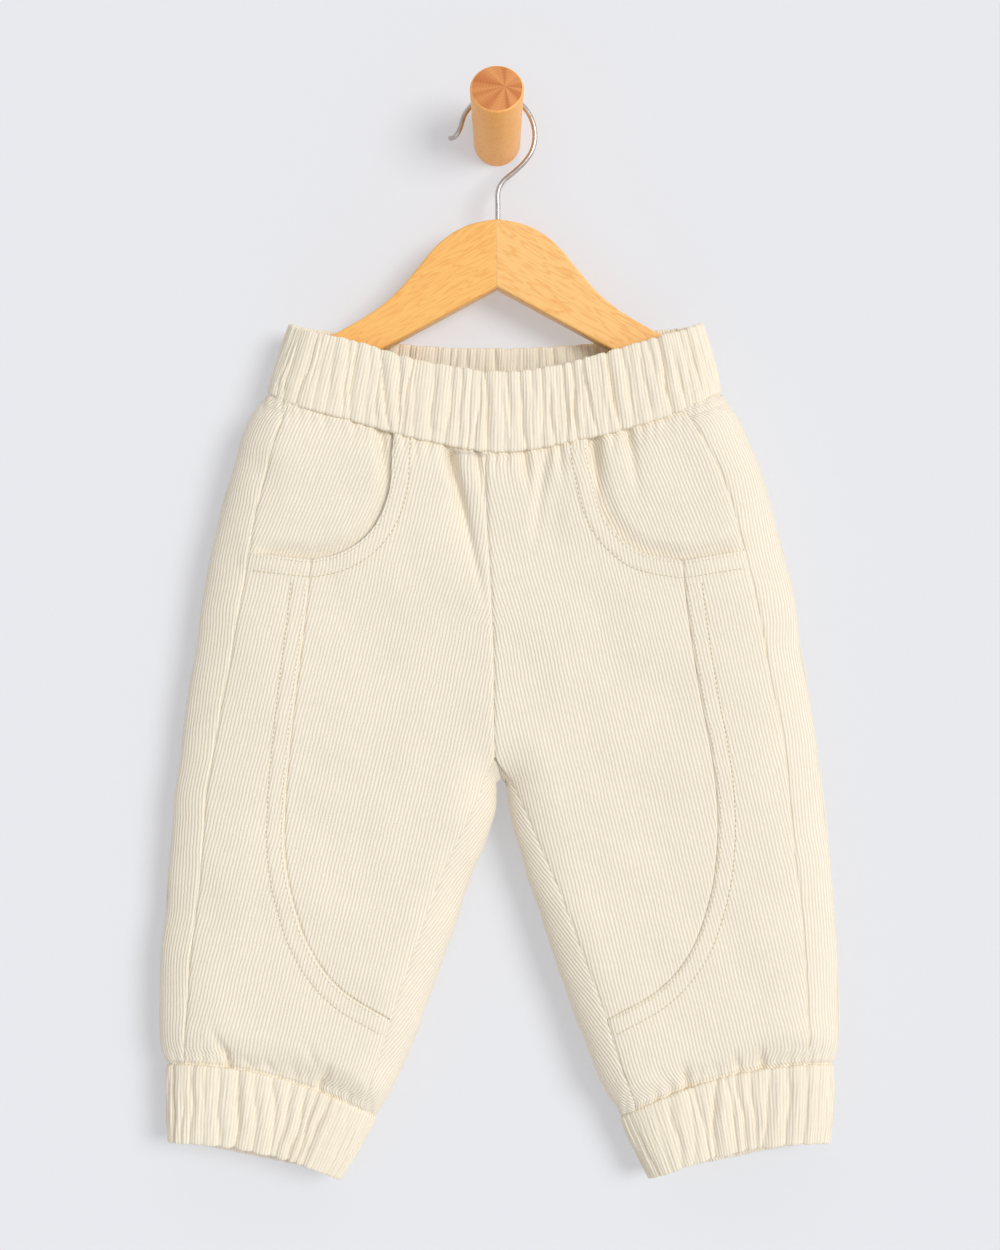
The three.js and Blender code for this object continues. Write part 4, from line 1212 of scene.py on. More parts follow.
@dataclass(frozen=True)
class EndGrain:
    """Sawn end of the turned peg, with rays and rings round a pith that lies off its axis.

    Attributes:
        pith: Where the pith lies, in metres.
        tilt: How far the end leans back, in degrees.
        ring_pitch: How closely the rings lie.
        wedges: How strongly the pale and dark wedges show, as the rings and rays do below.
    """

    name: str
    light: Colour
    dark: Colour
    pith: Place
    tilt: float
    ring_pitch: float = 4200.0
    wedges: float = 3.4
    rings: float = 0.1
    rays: float = 0.5

    def material(self) -> Material:
        """Makes the material.

        Returns:
            The material, whose pattern lies in the plane of the sawn end.
        """
        shading = Shading(self.name)
        where = shading.node("TexCoord").outputs["Object"]
        centred = shading.node("VectorMath", {0: where, 1: self.pith}, operation="SUBTRACT").outputs[0]
        flat = shading.mapped(centred, turn=(math.radians(self.tilt), 0.0, 0.0))
        x, _, z = shading.node("SeparateXYZ", {0: flat}).outputs
        angle = shading.math("ARCTAN2", z, x)
        circle = {0: shading.math("COSINE", angle), 1: shading.math("SINE", angle)}
        ring = shading.node("CombineXYZ", circle).outputs[0]
        wedges = shading.noise(ring, 1.9, 1.5)
        rays = shading.noise(ring, 26.0)
        squares = (shading.math("POWER", x, 2.0), shading.math("POWER", z, 2.0))
        away = shading.math("SQRT", shading.math("ADD", *squares))
        rings = shading.math("SINE", shading.math("MULTIPLY", away, self.ring_pitch))
        share = shading.swing(wedges, self.wedges, 0.5)
        share = shading.math("MULTIPLY_ADD", rings, self.rings, share)
        share = shading.node("Clamp", {0: shading.swing(rays, self.rays, share)}).outputs[0]
        return shading.surface({
            "Base Color": shading.blend(share, self.light, self.dark),
            "Roughness": 0.6,
            "Normal": shading.bump(rays, 0.3),
        })


@dataclass(frozen=True)
class Steel:
    """Drawn steel wire with a worn polish.

    Attributes:
        bright: Colour where it is polished.
        dull: Colour where it is worn.
        wear: How much the wear adds to the roughness.
    """

    name: str
    bright: Colour
    dull: Colour
    roughness: float = 0.2
    wear: float = 0.14

    def material(self) -> Material:
        """Makes the material, worn in patches."""
        shading = Shading(self.name)
        worn = shading.noise(shading.node("TexCoord").outputs["Object"], 420.0, 3.0)
        return shading.surface({
            "Base Color": shading.blend(worn, self.dull, self.bright),
            "Roughness": shading.math("MULTIPLY_ADD", worn, self.wear, self.roughness),
            "Metallic": 1.0,
        })


# Each cloth's second colour lies between the wales: the ground cloth's own tone with painted shade.
BODY_CORDUROY = Corduroy("body_corduroy", srgb(250, 241, 225), srgb(238, 225, 199))
BAND_CORDUROY = Corduroy("band_corduroy", srgb(248, 239, 221), srgb(240, 227, 201), relief=0.24)
THREAD = Thread("topstitch_thread", srgb(228, 214, 186))


@dataclass
class ClothPiece:
    """A flat-cut piece of cloth that is sewn into the garment.

    Attributes:
        name: The piece's name.
        node: The solid that it stands for.
        flat: Width and length of the cut that shows, in millimetres; not used.
        area: Area of that cut, in square centimetres; not used.
        held: How the cloth is held; not used.
        rests_on: What it hangs from; not used.
        wall: Its thickness.
    """

    name: str
    node: str
    flat: Pair
    area: float
    held: str
    rests_on: tuple[str, ...]
    slot: str = "cloth"
    wall: float = CLOTH_WALL

    def finish(
        self, piece: Piece, material: Material, is_open: bool
    ) -> Piece:
        """Args:
            piece: The cloth's outer surface, or its closed shell.
            material: Its material.
            is_open: Whether it still needs its thickness.

        Returns:
            The same object.
        """
        if is_open:
            shell = piece.modifiers.new("thickness", "SOLIDIFY")
            shell.thickness = self.wall * MM
            shell.offset = -1.0
            shell.use_rim = True
            shell.use_even_offset = False
        dress(piece, (material,), self.node)
        return piece


@dataclass
class FrontPanel:
    """A panel of the front, between two seam lines.

    Attributes:
        side: The leg.
        kind: The node's name without its side.
        lean: How far the wales lean towards the outside going down, in degrees.
        width: Usual width in millimetres, which sets the number of columns.
        spacing: Distance between columns.
        row_steps: Steps between two rows of the seam table.
    """

    side: Side
    kind: str
    cloth: ClothPiece
    lean: float
    width: float
    spacing: float = 1.0
    row_steps: int = 18

    def lines(self) -> tuple[Line, Line, Ends]:
        """Where the panel lies.

        Returns:
            Its two side lines and its ends.
        """
        seams = Seams(self.side)
        is_centre = self.kind == "front_centre"
        rows = (0, MEETING_ROW) if is_centre else (MOUTH_ROW, LAST_ROW)
        start, stop = (seams.inseam, seams.curve) if is_centre else (seams.curve, seams.side_seam)
        start, stop = beside(start, seams.inset, *rows), beside(stop, -seams.inset, *rows)
        return start, stop, sewn_ends(self.side, True, *rows)

    def drop(self, rows: Array, chart: Array) -> Array | float:
        """How far the panel lies behind the front's outer surface."""
        return 0.0

    def hems(self) -> tuple[int, ...]:
        """The folded strips that lift this panel."""
        return (0,) if self.kind == "front_centre" else (0, 1)

    def build(self, material: Material) -> Piece:
        """Args:
            material: The cloth's material.

        Returns:
            The finished piece.
        """
        start, stop, ends = self.lines()
        count = int((ends.last - ends.first) * self.row_steps) + 1
        close = np.array(END_ROWS)
        even = np.linspace(ends.first, ends.last, count)
        rows = np.unique(np.concatenate([even, ends.first + close, ends.last - close]))
        if ends.last == MEETING_ROW:
            rows[-1] -= TIP_ROWS
        shares = dense_shares(self.width, self.spacing)
        chart = ends.across(start, stop, rows, shares)
        form = HangingForm(self.side, self.hems())
        points, normals = form.place(chart, True, self.drop(rows, chart))
        middle = len(shares) // 2
        arc = arc_length(points)
        across = chart[:, middle, 0][:, None] + self.side.outwards * (arc - arc[:, middle][:, None])
        cut = leaning_cut(across, chart[..., 1], -self.side.outwards * self.lean)
        patch = Patch(points, normals, cut).facing_out()
        piece = join_meshes(self.cloth.name, [grid_mesh(patch)], False)
        return self.cloth.finish(piece, material, True)


@dataclass
class PocketFacing(FrontPanel):
    """The cloth behind the scooped pocket mouth."""

    def lines(self) -> tuple[Line, Line, Ends]:
        """Where the facing lies.

        Returns:
            Its hidden edge, its side seam and its ends.
        """
        seams = Seams(self.side)
        last = MOUTH_ROW
        underlap = -self.side.outwards * POCKET_UNDERLAP
        hidden = beside(seams.curve, underlap, 0, last)
        sewn = beside(seams.side_seam, -seams.inset, 0, last)

        def start(row: Array) -> Array:
            """The edge behind the front panel."""
            point = hidden(row)
            level = seams.curve(row)[..., 0] + underlap
            eased = smooth_step(row / FACING_EASES_OVER)
            return np.stack([level + (point[..., 0] - level) * eased, point[..., 1]], -1)

        def stop(row: Array) -> Array:
            """The side seam, run on below the mouth."""
            point = sewn(row)
            lowers = smooth_step((row - FACING_LOWERS_FROM) / FACING_LOWERS_OVER)
            lower = lowers * POCKET_UNDERLAP
            z = point[..., 1] - lower
            corner_z = sewn(AT_MOUTH)[0, 1]
            under = smooth_step((corner_z + FACING_TUCK_START - z) / FACING_TUCK_LENGTH)
            return np.stack([point[..., 0] + under * FACING_TUCK * self.side.outwards, z], -1)

        return start, stop, sewn_ends(self.side, True, 0, last)

    def drop(self, rows: Array, chart: Array) -> Array:
        """Behind the front at the mouth, and level with it at the waist and the side seam.

        Args:
            rows: Rows of the seam tables; not used.
            chart: The facing's points on the front view.

        Returns:
            Distances behind the front's outer surface.
        """
        seams = Seams(self.side)
        scoop = seams.sampled(seams.curve, 0, MOUTH_ROW)
        mouth = np.concatenate([scoop, seams.side_seam(AT_MOUTH)])
        away, _ = distance_to(chart, mouth)
        lip = np.interp(np.abs(chart[..., 0]), np.abs(mouth[:, 0]), mouth[:, 1])
        is_seen = chart[..., 1] > lip
        rise = smooth_step((away - FACING_RISE_START) / FACING_RISE_WIDTH)
        from_side, _ = distance_to(chart, seams.sampled(seams.side_seam, 0, MOUTH_ROW + 1))
        share = FACING_SIDE_DROP + (1 - FACING_SIDE_DROP) * smooth_step(from_side / FACING_SIDE_WIDTH)
        return FACING_DROP * share * (1 - np.where(is_seen, rise, 0.0))

    def hems(self) -> tuple[int, ...]:
        """The facing lies under the folded strips."""
        return ()


@dataclass
class BackPanel:
    """Back of one leg and half the seat, which wraps forward past both folds.

    Attributes:
        strip_lean: How far the wales lean on the strip inside the inseam, in degrees.
        corner_share: Where the crotch's corner lies between the inseam and the centre seam.
        crotch_tuck: How far the edge is tucked under the front there.
        crotch_drop: How far the tucked cloth lies behind the front.
        strip_cut: How far from the outer fold the wales take up the back's own direction.
    """

    side: Side
    cloth: ClothPiece
    lean: float = 16.0
    strip_lean: float = 42.0
    row_steps: int = 12
    wrap_steps: int = 26
    back_steps: int = 104
    inner_steps: int = 20
    corner_share: float = -0.22
    corner_rows: float = 0.16
    crotch_tuck: float = 2.0
    tuck_rows: float = 0.5
    crotch_drop: float = 1.5
    drop_start: float = 8.0
    drop_length: float = 10.0
    strip_cut: float = 70.0

    def inseam(self) -> Line:
        """The panel's edge at the inseam, which starts at a corner in the crotch.

        Returns:
            The edge as a line of points.
        """
        seams = Seams(self.side)
        sewn = beside(seams.inseam, -2 * seams.inset, CROTCH_ROW, LAST_ROW)
        underlap = self.side.outwards * self.crotch_tuck
        tucked = beside(seams.inseam, underlap, CROTCH_ROW, LAST_ROW)
        corner = seams.inseam(AT_CROTCH)[0] + np.array([seams.inset, 0])
        corner = corner + (seams.inner_line(AT_CROTCH)[0] - corner) * self.corner_share
        joins = CROTCH_ROW + self.corner_rows

        def edge(row: Array) -> Array:
            """The corner, then a line that comes out from under the front to the sewn line."""
            share = np.clip((row - CROTCH_ROW) / self.corner_rows, 0, 1)[..., None]
            below = np.maximum(row, joins)
            tuck = 1 - smooth_step((below - CROTCH_ROW) / self.tuck_rows)[..., None]
            line = sewn(below) * (1 - tuck) + tucked(below) * tuck
            return corner + (line - corner) * share

        return edge

    def build(self, material: Material) -> Piece:
        """Args:
            material: The cloth's material.

        Returns:
            The finished piece.
        """
        form, seams = HangingForm(self.side), Seams(self.side)
        rows = np.linspace(0, LAST_ROW, LAST_ROW * self.row_steps + 1)
        side_edge = beside(seams.side_seam, seams.inset, 0, LAST_ROW)
        front_ends = sewn_ends(self.side, True, 0, LAST_ROW)
        back_ends = sewn_ends(self.side, False, 0, LAST_ROW)
        wrap_share = (1 + np.cos(math.pi * np.arange(self.wrap_steps) / self.wrap_steps)) / 2
        wrap = front_ends.across(seams.outer_fold, side_edge, rows, wrap_share)
        t = np.linspace(0, 1, self.back_steps + 1)
        one_fold, two_folds = 1 - np.cos(math.pi / 2 * t), (1 - np.cos(math.pi * t)) / 2
        leg = smooth_step((rows - CROTCH_ROW + 2) / 3)[:, None]
        back = back_ends.across(
            seams.outer_fold, seams.inner_line, rows, one_fold * (1 - leg) + two_folds * leg
        )
        wrapped, spread = form.place(wrap, True), form.place(back, False)
        points = np.concatenate([wrapped[0], spread[0]], 1)
        normals = np.concatenate([wrapped[1], spread[1]], 1)
        heights = np.concatenate([wrap[..., 1], back[..., 1]], 1)
        middle = self.wrap_steps + self.back_steps // 2
        arc = arc_length(points)
        across = back[:, self.back_steps // 2, 0][:, None]
        across = across - self.side.outwards * (arc - arc[:, middle][:, None])
        lean = -self.side.outwards * self.lean
        cut = leaning_cut(across, heights, lean)
        from_fold = arc - arc[:, self.wrap_steps][:, None]
        at_fold = cut[:, self.wrap_steps, 0].mean()
        along_fold = at_fold - self.side.outwards * from_fold
        main_share = smooth_step(from_fold / self.strip_cut)
        cut[..., 0] = cut[..., 0] * main_share + along_fold * (1 - main_share)
        main = Patch(points, normals, cut)
        legs = rows >= CROTCH_ROW
        turn_share = (1 - np.cos(math.pi * np.arange(self.inner_steps + 1) / self.inner_steps)) / 2
        inner_ends = sewn_ends(self.side, True, CROTCH_ROW, LAST_ROW)
        turn = inner_ends.across(seams.inner_line, self.inseam(), rows[legs], turn_share)
        from_crotch = np.linalg.norm(turn - seams.inseam(AT_CROTCH)[0], axis=-1)
        behind = self.crotch_drop * (1 - smooth_step((from_crotch - self.drop_start) / self.drop_length))
        turned = form.place(turn, True, behind)
        turned[0][:, 0] = points[legs, -1]
        turn_across = turn[:, :1, 0] + self.side.outwards * arc_length(turned[0])
        strip_lean = -self.side.outwards * self.strip_lean
        inner = Patch(turned[0], turned[1], leaning_cut(turn_across, turn[..., 1], strip_lean))
        patches = [main.facing_out(), inner.facing_out()]
        piece = join_meshes(self.cloth.name, [grid_mesh(patch) for patch in patches], False)
        return self.cloth.finish(piece, material, True)


@dataclass(frozen=True)
class RingSection:
    """A flattened ring, round at its two folds.

    Attributes:
        left: X of the left fold.
        right: X of the right fold.
        depth: Half its depth.
        left_reach: How far in from the left fold it keeps rounding.
        right_reach: The same from the right fold.
    """

    left: float
    right: float
    depth: float
    left_reach: float
    right_reach: float

    def at(self, share: Array) -> tuple[Array, Array, Array]:
        """Points of the ring, from its left fold over the front and back round.

        Args:
            share: Shares of the way round.

        Returns:
            X, Y and whether each point is on the front.
        """
        left_arc, right_arc = (math.pi / 2 * reach for reach in (self.left_reach, self.right_reach))
        flat = self.right - self.left - self.left_reach - self.right_reach
        length = left_arc + flat + right_arc
        is_front = share < 0.5
        along = np.where(is_front, share, 1 - share) * 2 * length
        left_angle = np.clip(along / self.left_reach, 0, math.pi / 2)
        right_angle = np.clip((length - along) / self.right_reach, 0, math.pi / 2)
        straight = self.left + self.left_reach + along - left_arc
        x = np.where(along < left_arc, self.left + self.left_reach * (1 - np.cos(left_angle)), straight)
        on_right = length - along < right_arc
        x = np.where(on_right, self.right - self.right_reach * (1 - np.cos(right_angle)), x)
        away = np.minimum(np.sin(left_angle), np.sin(right_angle))
        return x, MID_PLANE_Y + np.where(is_front, -1, 1) * self.depth * away, is_front

    def share_at(self, x: Array) -> Array:
        """Shares of the way round at which the front reaches places across."""
        share = np.linspace(0, 0.5, 400, endpoint=False)
        return np.interp(x, self.at(share)[0], share)


VALLEY_NAMES = ("top_x", "bottom_x", "depth")
BAND_VALLEYS = Table(VALLEY_NAMES, (
    (-99, -108, 0.7), (-89.7, -101, 0.85), (-84.3, -93, 0.5), (-74.3, -77, 0.6), (-69.7, -75, 1),
    (-63, -66, 0.45), (-59.2, -53.5, 1), (-48.8, -49, 0.8), (-40, -42.5, 0.5), (-31.7, -33, 0.75),
    (-21.6, -26, 0.85), (-12, -15.5, 0.6), (-6.2, -4.5, 1), (2.5, 4, 0.4), (10.6, 15, 0.85),
    (22.2, 23.5, 0.6), (30, 31, 0.35), (37.3, 40.5, 1), (42.3, 50, 0.8), (54, 62, 0.95),
    (62.5, 69, 0.75), (71, 78, 0.45), (80.1, 88, 0.95), (91.7, 99, 0.7), (99.2, 107, 0.5),
))
CUFF_VALLEYS = {
    Side.LEFT: Table(VALLEY_NAMES, (
        (-152.5, -155, 0.7), (-146, -148.5, 0.4), (-140.4, -139.9, 0.75), (-129.3, -132.3, 1),
        (-121, -123, 0.5), (-112.1, -113.6, 0.75), (-103, -111.1, 0.9), (-95.4, -105, 1),
        (-85.3, -97.5, 0.8), (-73, -86, 0.3),
    )),
    Side.RIGHT: Table(VALLEY_NAMES, (
        (87, 93.5, 0.6), (97, 100, 0.45), (110.6, 108.6, 1), (120.7, 125.3, 0.9),
        (127.8, 130.8, 0.8), (137.9, 133.9, 0.75), (147, 145.5, 0.8), (155.6, 155, 0.6),
        (162, 160.5, 0.4),
    )),
}


# How creases are drawn between those listed one by one. Widths are shares of the usual one, and
# starts and stops are shares of the way down.
CREASE_JITTER = 0.28
CREASE_SLANT = 0.3
CREASE_DEPTHS = (0.3, 0.95)
CREASE_PART = 0.22  # chance that it stops early, and that it starts late
CREASE_STOPS = (0.45, 0.9)
CREASE_STARTS = (0.1, 0.55)
CREASE_WHOLE = (-0.4, 1.4)
CREASE_FADE = 0.35
CREASE_BEND = 0.1
CREASE_FLAT = 0.3  # share of the depth that is left where the front is hardly gathered
CREASE_CLEAR = 0.5  # least distance from a listed one
RIDGE_UNEVEN = 0.2
RIDGE_FINE = 0.06


@dataclass
class GatheredRing:
    """Cloth gathered over a ring of elastic, with rounded edges where it is folded.

    Attributes:
        cloth: The piece.
        top: The ring's section at its top edge.
        bottom: Its section at its bottom edge.
        top_z: Height of the top edge, given x and whether it is on the front.
        bottom_z: The same for the bottom edge.
        valleys: The deepest creases of the front, listed one by one.
        gathers: Creases all the way round.
        seed: Starts the order of the smaller creases.
        stand: Height of a ridge.
        sink: How far a deep crease lies below the elastic.
        lining_shift: How far the ridges inside lie beside those outside, as a share of their width.
        scallop: How far a ridge lifts the ring's edges.
        mean_height: Height of a gather that leaves the edge where it is.
        smooth_zone: Places across between which the front is hardly gathered.
        top_hold: Share of the gathers' height that is left at the top edge.
        bottom_hold: The same at the bottom edge.
    """

    cloth: ClothPiece
    top: RingSection
    bottom: RingSection
    top_z: Callable[[Array, Array], Array]
    bottom_z: Callable[[Array, Array], Array]
    valleys: Table
    gathers: int
    seed: int
    columns: int
    outer_levels: int = 32
    inner_levels: int = 14
    turn_steps: int = 5
    stand: float = 2.7
    sink: float = 1.1
    lining_stand: float = 2.4
    lining_shift: float = 0.43
    scallop: float = 1.1
    scallop_share: float = 0.25
    mean_height: float = 0.55
    smooth_zone: Pair | None = None
    top_hold: float = 0.8
    bottom_hold: float = 0.6
    hold_share: float = 0.3

    def creases(self) -> Array:
        """Every crease of the ring.

        Returns:
            Its shares of the way round at the top and bottom, its depth, start and stop.
        """
        chance = np.random.default_rng(self.seed)
        placed = np.stack([
            self.top.share_at(self.valleys.column("top_x")),
            self.bottom.share_at(self.valleys.column("bottom_x")),
            self.valleys.column("depth"),
        ], -1)
        found = [(*row, *CREASE_WHOLE) for row in placed]
        for number in range(self.gathers):
            share = (number + chance.uniform(-CREASE_JITTER, CREASE_JITTER)) / self.gathers % 1
            slant = chance.uniform(-CREASE_SLANT, CREASE_SLANT) / self.gathers
            depth = chance.uniform(*CREASE_DEPTHS)
            start, stop = CREASE_WHOLE
            kind = chance.uniform()
            if kind < CREASE_PART:
                stop = chance.uniform(*CREASE_STOPS)
            elif kind < 2 * CREASE_PART:
                start = chance.uniform(*CREASE_STARTS)
            if self._is_smooth(share):
                depth *= CREASE_FLAT
            gap = np.abs(placed[:, :2].mean(1) - share)
            if np.minimum(gap, 1 - gap).min() * self.gathers > CREASE_CLEAR:
                found.append((share - slant, share + slant, depth, start, stop))
        return np.array(found)

    def _is_smooth(self, share: float) -> bool:
        """Whether a share of the way round lies where the front is hardly gathered."""
        if self.smooth_zone is None:
            return False
        low, high = self.bottom.share_at(np.array(self.smooth_zone))
        return low < share < high

    def ridge(self, share: Array, level: float, creases: Array) -> Array:
        """Height of the gathers at one level, from 0 in a deep crease to 1 on a ridge.

        Args:
            share: Shares of the way round.
            level: Share of the way down.
            creases: The table that creases() makes.

        Returns:
            Heights.
        """
        top, bottom, depth, start, stop = creases.T
        bend = np.sin(5.5 * level + 210 * top) + 0.5 * np.sin(11 * level + 470 * top)
        place = (top + (bottom - top) * level + CREASE_BEND * bend / self.gathers) % 1
        fade = smooth_step((stop - level) / CREASE_FADE) * smooth_step((level - start) / CREASE_FADE)
        order = np.argsort(place)
        place, deep = place[order], (depth * fade)[order]
        place = np.concatenate([[place[-1] - 1], place, [place[0] + 1]])
        deep = np.concatenate([[deep[-1]], deep, [deep[0]]])
        right = np.searchsorted(place, share, side="right").clip(1, len(place) - 1)
        width = np.maximum(place[right] - place[right - 1], 1e-5)
        w = np.clip((share - place[right - 1]) / width, 0, 1)
        near = np.where(w < 0.5, deep[right - 1], deep[right])
        crown = np.sin(math.pi * w) ** 0.8
        narrow = np.clip(width * self.gathers / 1.1, 0.4, 1)
        number = right.astype(float)
        uneven = 1 - RIDGE_UNEVEN * (1 + np.sin(2.7 * number + 1.9 * np.sin(1.3 * number) + 2 * level))
        turns = 2 * math.pi * share * self.gathers
        fine = np.sin(2.3 * turns + 2.5 * np.sin(0.31 * turns) + 3 * level)
        fine = RIDGE_FINE * fine * np.sin(0.17 * turns + 5 * level)
        return uneven * (1 - near * (1 - crown * narrow**0.5)) + (1 - uneven) * 0.3 + fine

    def build(self, material: Material) -> Piece:
        """Args:
            material: The cloth's material.

        Returns:
            The finished piece.
        """
        share = np.linspace(0, 1, self.columns + 1)
        share[-1] = 0
        creases = self.creases()
        top = self._edge(self.top, self.top_z, share)
        bottom = self._edge(self.bottom, self.bottom_z, share)
        down = bottom - top
        length = np.linalg.norm(down, axis=1, keepdims=True)
        rim = self.cloth.wall / 2 / float(length.mean())
        centre = np.array([(self.top.left + self.top.right) / 2, MID_PLANE_Y, 0])
        rows, cuts = [], []
        travelled = 0.0
        for level, side, up in self._path(rim):
            base = top + down * level
            round_way = np.roll(base[:-1], -1, 0) - np.roll(base[:-1], 1, 0)
            round_way = np.concatenate([round_way, round_way[:1]])
            normal = np.cross(down, round_way)
            normal /= np.linalg.norm(normal, axis=1, keepdims=True)
            outward = np.sign(((base - centre) * normal)[:, 1:2].sum()) or 1.0
            normal *= outward
            height = self.ridge(share, level, creases)[:, None]
            inside = (share + self.lining_shift / self.gathers) % 1
            lining = self.ridge(inside, 1 - level, creases)[:, None]
            hold = 1.0
            for left, away in ((self.top_hold, level), (self.bottom_hold, 1 - level)):
                hold *= left + (1 - left) * smooth_step(np.array(away / self.hold_share))
            outer = (self.stand * height - self.sink) * hold
            inner = -self.cloth.wall - (self.lining_stand * lining - self.sink) * hold
            middle, half = (outer + inner) / 2, (outer - inner) / 2
            at_top = smooth_step(np.array(1 - level / self.scallop_share))
            at_bottom = smooth_step(np.array(1 - (1 - level) / self.scallop_share))
            scallop = self.scallop * (height - self.mean_height) * (at_top - at_bottom)
            lift = up * np.minimum(half, self.cloth.wall / 2) + scallop
            rows.append(base + normal * (middle + side * half) - down / length * lift)
        points = np.stack(rows)
        arc = arc_length(points[len(points) // 4][None])[0]
        whole = round(arc[-1] / BODY_CORDUROY.wale) * BODY_CORDUROY.wale
        for index in range(len(points)):
            if index:
                travelled += float(np.linalg.norm(points[index] - points[index - 1], axis=1).mean())
            cuts.append(np.stack([arc / arc[-1] * whole, np.full_like(arc, travelled)], -1))
        patch = Patch(points, points, np.stack(cuts))
        piece = join_meshes(self.cloth.name, [grid_mesh(patch)], True)
        return self.cloth.finish(piece, material, False)

    def _edge(self, section: RingSection, z: Callable, share: Array) -> Array:
        """Points of one edge of the ring."""
        x, y, is_front = section.at(share)
        return np.stack([x, y, z(x, is_front)], -1)

    def _path(self, rim: float) -> list[tuple[float, float, float]]:
        """Level, side and rise of each row: down outside, up inside, and round both edges.

        Args:
            rim: Half the wall as a share of the ring's height.

        Returns:
            Rows whose first and last lie at one place.
        """
        turn = np.linspace(0, math.pi, self.turn_steps + 2)[1:-1]
        levels = np.linspace(rim, 1 - rim, self.outer_levels)
        back_levels = np.linspace(1 - rim, rim, self.inner_levels)
        path = [(float(level), 1.0, 0.0) for level in levels]
        path += [(1 - rim, math.cos(a), -math.sin(a)) for a in turn]
        path += [(float(level), -1.0, 0.0) for level in back_levels]
        path += [(rim, -math.cos(a), math.sin(a)) for a in turn]
        return path + [path[0]]


@dataclass
class Topstitching:
    """Rows of stitches on one leg, joined into one mesh.

    Attributes:
        pitch: Distance from one stitch to the next.
        bow: How far a stitch's middle bows up, as a share of its height.
        lift: How far it lies above the cloth.
        least: Share of the size that a stitch which pulls nothing would have.
    """

    side: Side
    pitch: float = 2.5
    length: float = 1.75
    width: float = 0.5
    height: float = 0.42
    bow: float = 0.3
    lift: float = 0.12
    least: float = 0.55

    def build(self, material: Material) -> Piece:
        """Builds the stitches, each laid on the cloth along its row.

        Args:
            material: The thread's material.

        Returns:
            The joined stitches.
        """
        form = HangingForm(self.side)
        shape = bmesh.new()
        for line, pull in topstitch_lines(self.side):
            chart = self._spaced(line)
            points, normals = form.place(chart, True)
            size = self.least + (1 - self.least) * pull
            for index in range(len(points) - 1):
                self._stitch(shape, points[index], points[index + 1], normals[index], size)
        return dress(linked(f"topstitching_{self.side.value}", shape), (material,))

    def _spaced(self, line: Array) -> Array:
        """Points along a line, one pitch apart."""
        steps = np.linalg.norm(np.diff(line, axis=0), axis=1)
        along = np.concatenate([[0], np.cumsum(steps)])
        places = np.arange(0, along[-1], self.pitch)
        return np.stack([np.interp(places, along, line[:, 0]), np.interp(places, along, line[:, 1])], -1)

    def _stitch(
        self, shape: bmesh.types.BMesh, start: Array, stop: Array, out: Array, size: float
    ) -> None:
        """Adds one stitch between two points on the cloth.

        Args:
            shape: The bmesh that it is added to.
            start: The first point.
            stop: The second point.
            out: The way out of the cloth.
            size: Share of the full size.
        """
        way = Vector(stop - start).normalized()
        up = Vector(out)
        up = (up - way * up.dot(way)).normalized()
        across = way.cross(up)
        made = bmesh.ops.create_uvsphere(shape, u_segments=8, v_segments=6, radius=0.5)
        centre = (Vector(start) + Vector(stop)) / 2 + up * self.lift
        for vert in made["verts"]:
            x, y, z = vert.co
            high = self.height * (y + self.bow * (1 - (2 * z) ** 2))
            offset = way * (z * self.length) + across * (x * self.width) + up * high
            vert.co = (centre + offset * size) * MM


@dataclass
class HangerArm:
    """One wooden arm of the hanger, mitred at the centre."""

    side: Side
    end_top_x: float
    end_bottom_x: float
    end_bottom_z: float
    plane_y: float = -17.0
    thickness: float = 11.0
    edge_round: float = 1.5
    fork_z: float = -78.8
    steps: int = 70
    top_edge: Table = Table(("x", "z"), (
        (0, -43.8), (13, -46.3), (23.1, -51.2), (31.9, -58.5), (40.7, -69.2), (51.5, -81.5),
        (63, -90.8), (82.5, -102.2), (104.2, -114.4),
    ))

    def build(self, material: Material) -> Piece:
        """Builds the arm from its outline, with rounded long edges.

        Args:
            material: The wood.

        Returns:
            The finished piece.
        """
        x = np.linspace(MITRE_GAP / 2, self.end_top_x, self.steps)
        upper = np.stack([x, self.top_edge.read("x", "z", x)], -1)
        outline = [(MITRE_GAP / 2, self.fork_z), *upper, (self.end_bottom_x, self.end_bottom_z)]
        shape = bmesh.new()
        front_y = self.plane_y - self.thickness / 2
        corners = [
            shape.verts.new((self.side.outwards * across * MM, front_y * MM, up * MM))
            for across, up in outline
        ]
        face = shape.faces.new(corners)
        grown = bmesh.ops.extrude_face_region(shape, geom=[face])
        moved = [item for item in grown["geom"] if isinstance(item, bmesh.types.BMVert)]
        bmesh.ops.translate(shape, verts=moved, vec=(0, self.thickness * MM, 0))
        bmesh.ops.recalc_face_normals(shape, faces=shape.faces)
        mitre = MITRE_GAP * MM
        rims = [
            edge
            for edge in shape.edges
            if abs(edge.verts[0].co.y - edge.verts[1].co.y) < WELD
            and not all(abs(vert.co.x) < mitre for vert in edge.verts)
        ]
        bmesh.ops.bevel(
            shape,
            geom=rims,
            affect="EDGES",
            offset=self.edge_round * MM,
            offset_type="OFFSET",
            segments=4,
            profile=0.5,
            material=-1,
            clamp_overlap=True,
        )
        piece = linked(f"hanger_arm_{self.side.value}_wood", shape)
        weighted = piece.modifiers.new("flat faces", "WEIGHTED_NORMAL")
        weighted.keep_sharp = True
        piece.data.set_sharp_from_angle(angle=SHARP_ANGLE)
        return dress(piece, (material,), f"hanger_arm_{self.side.value}")


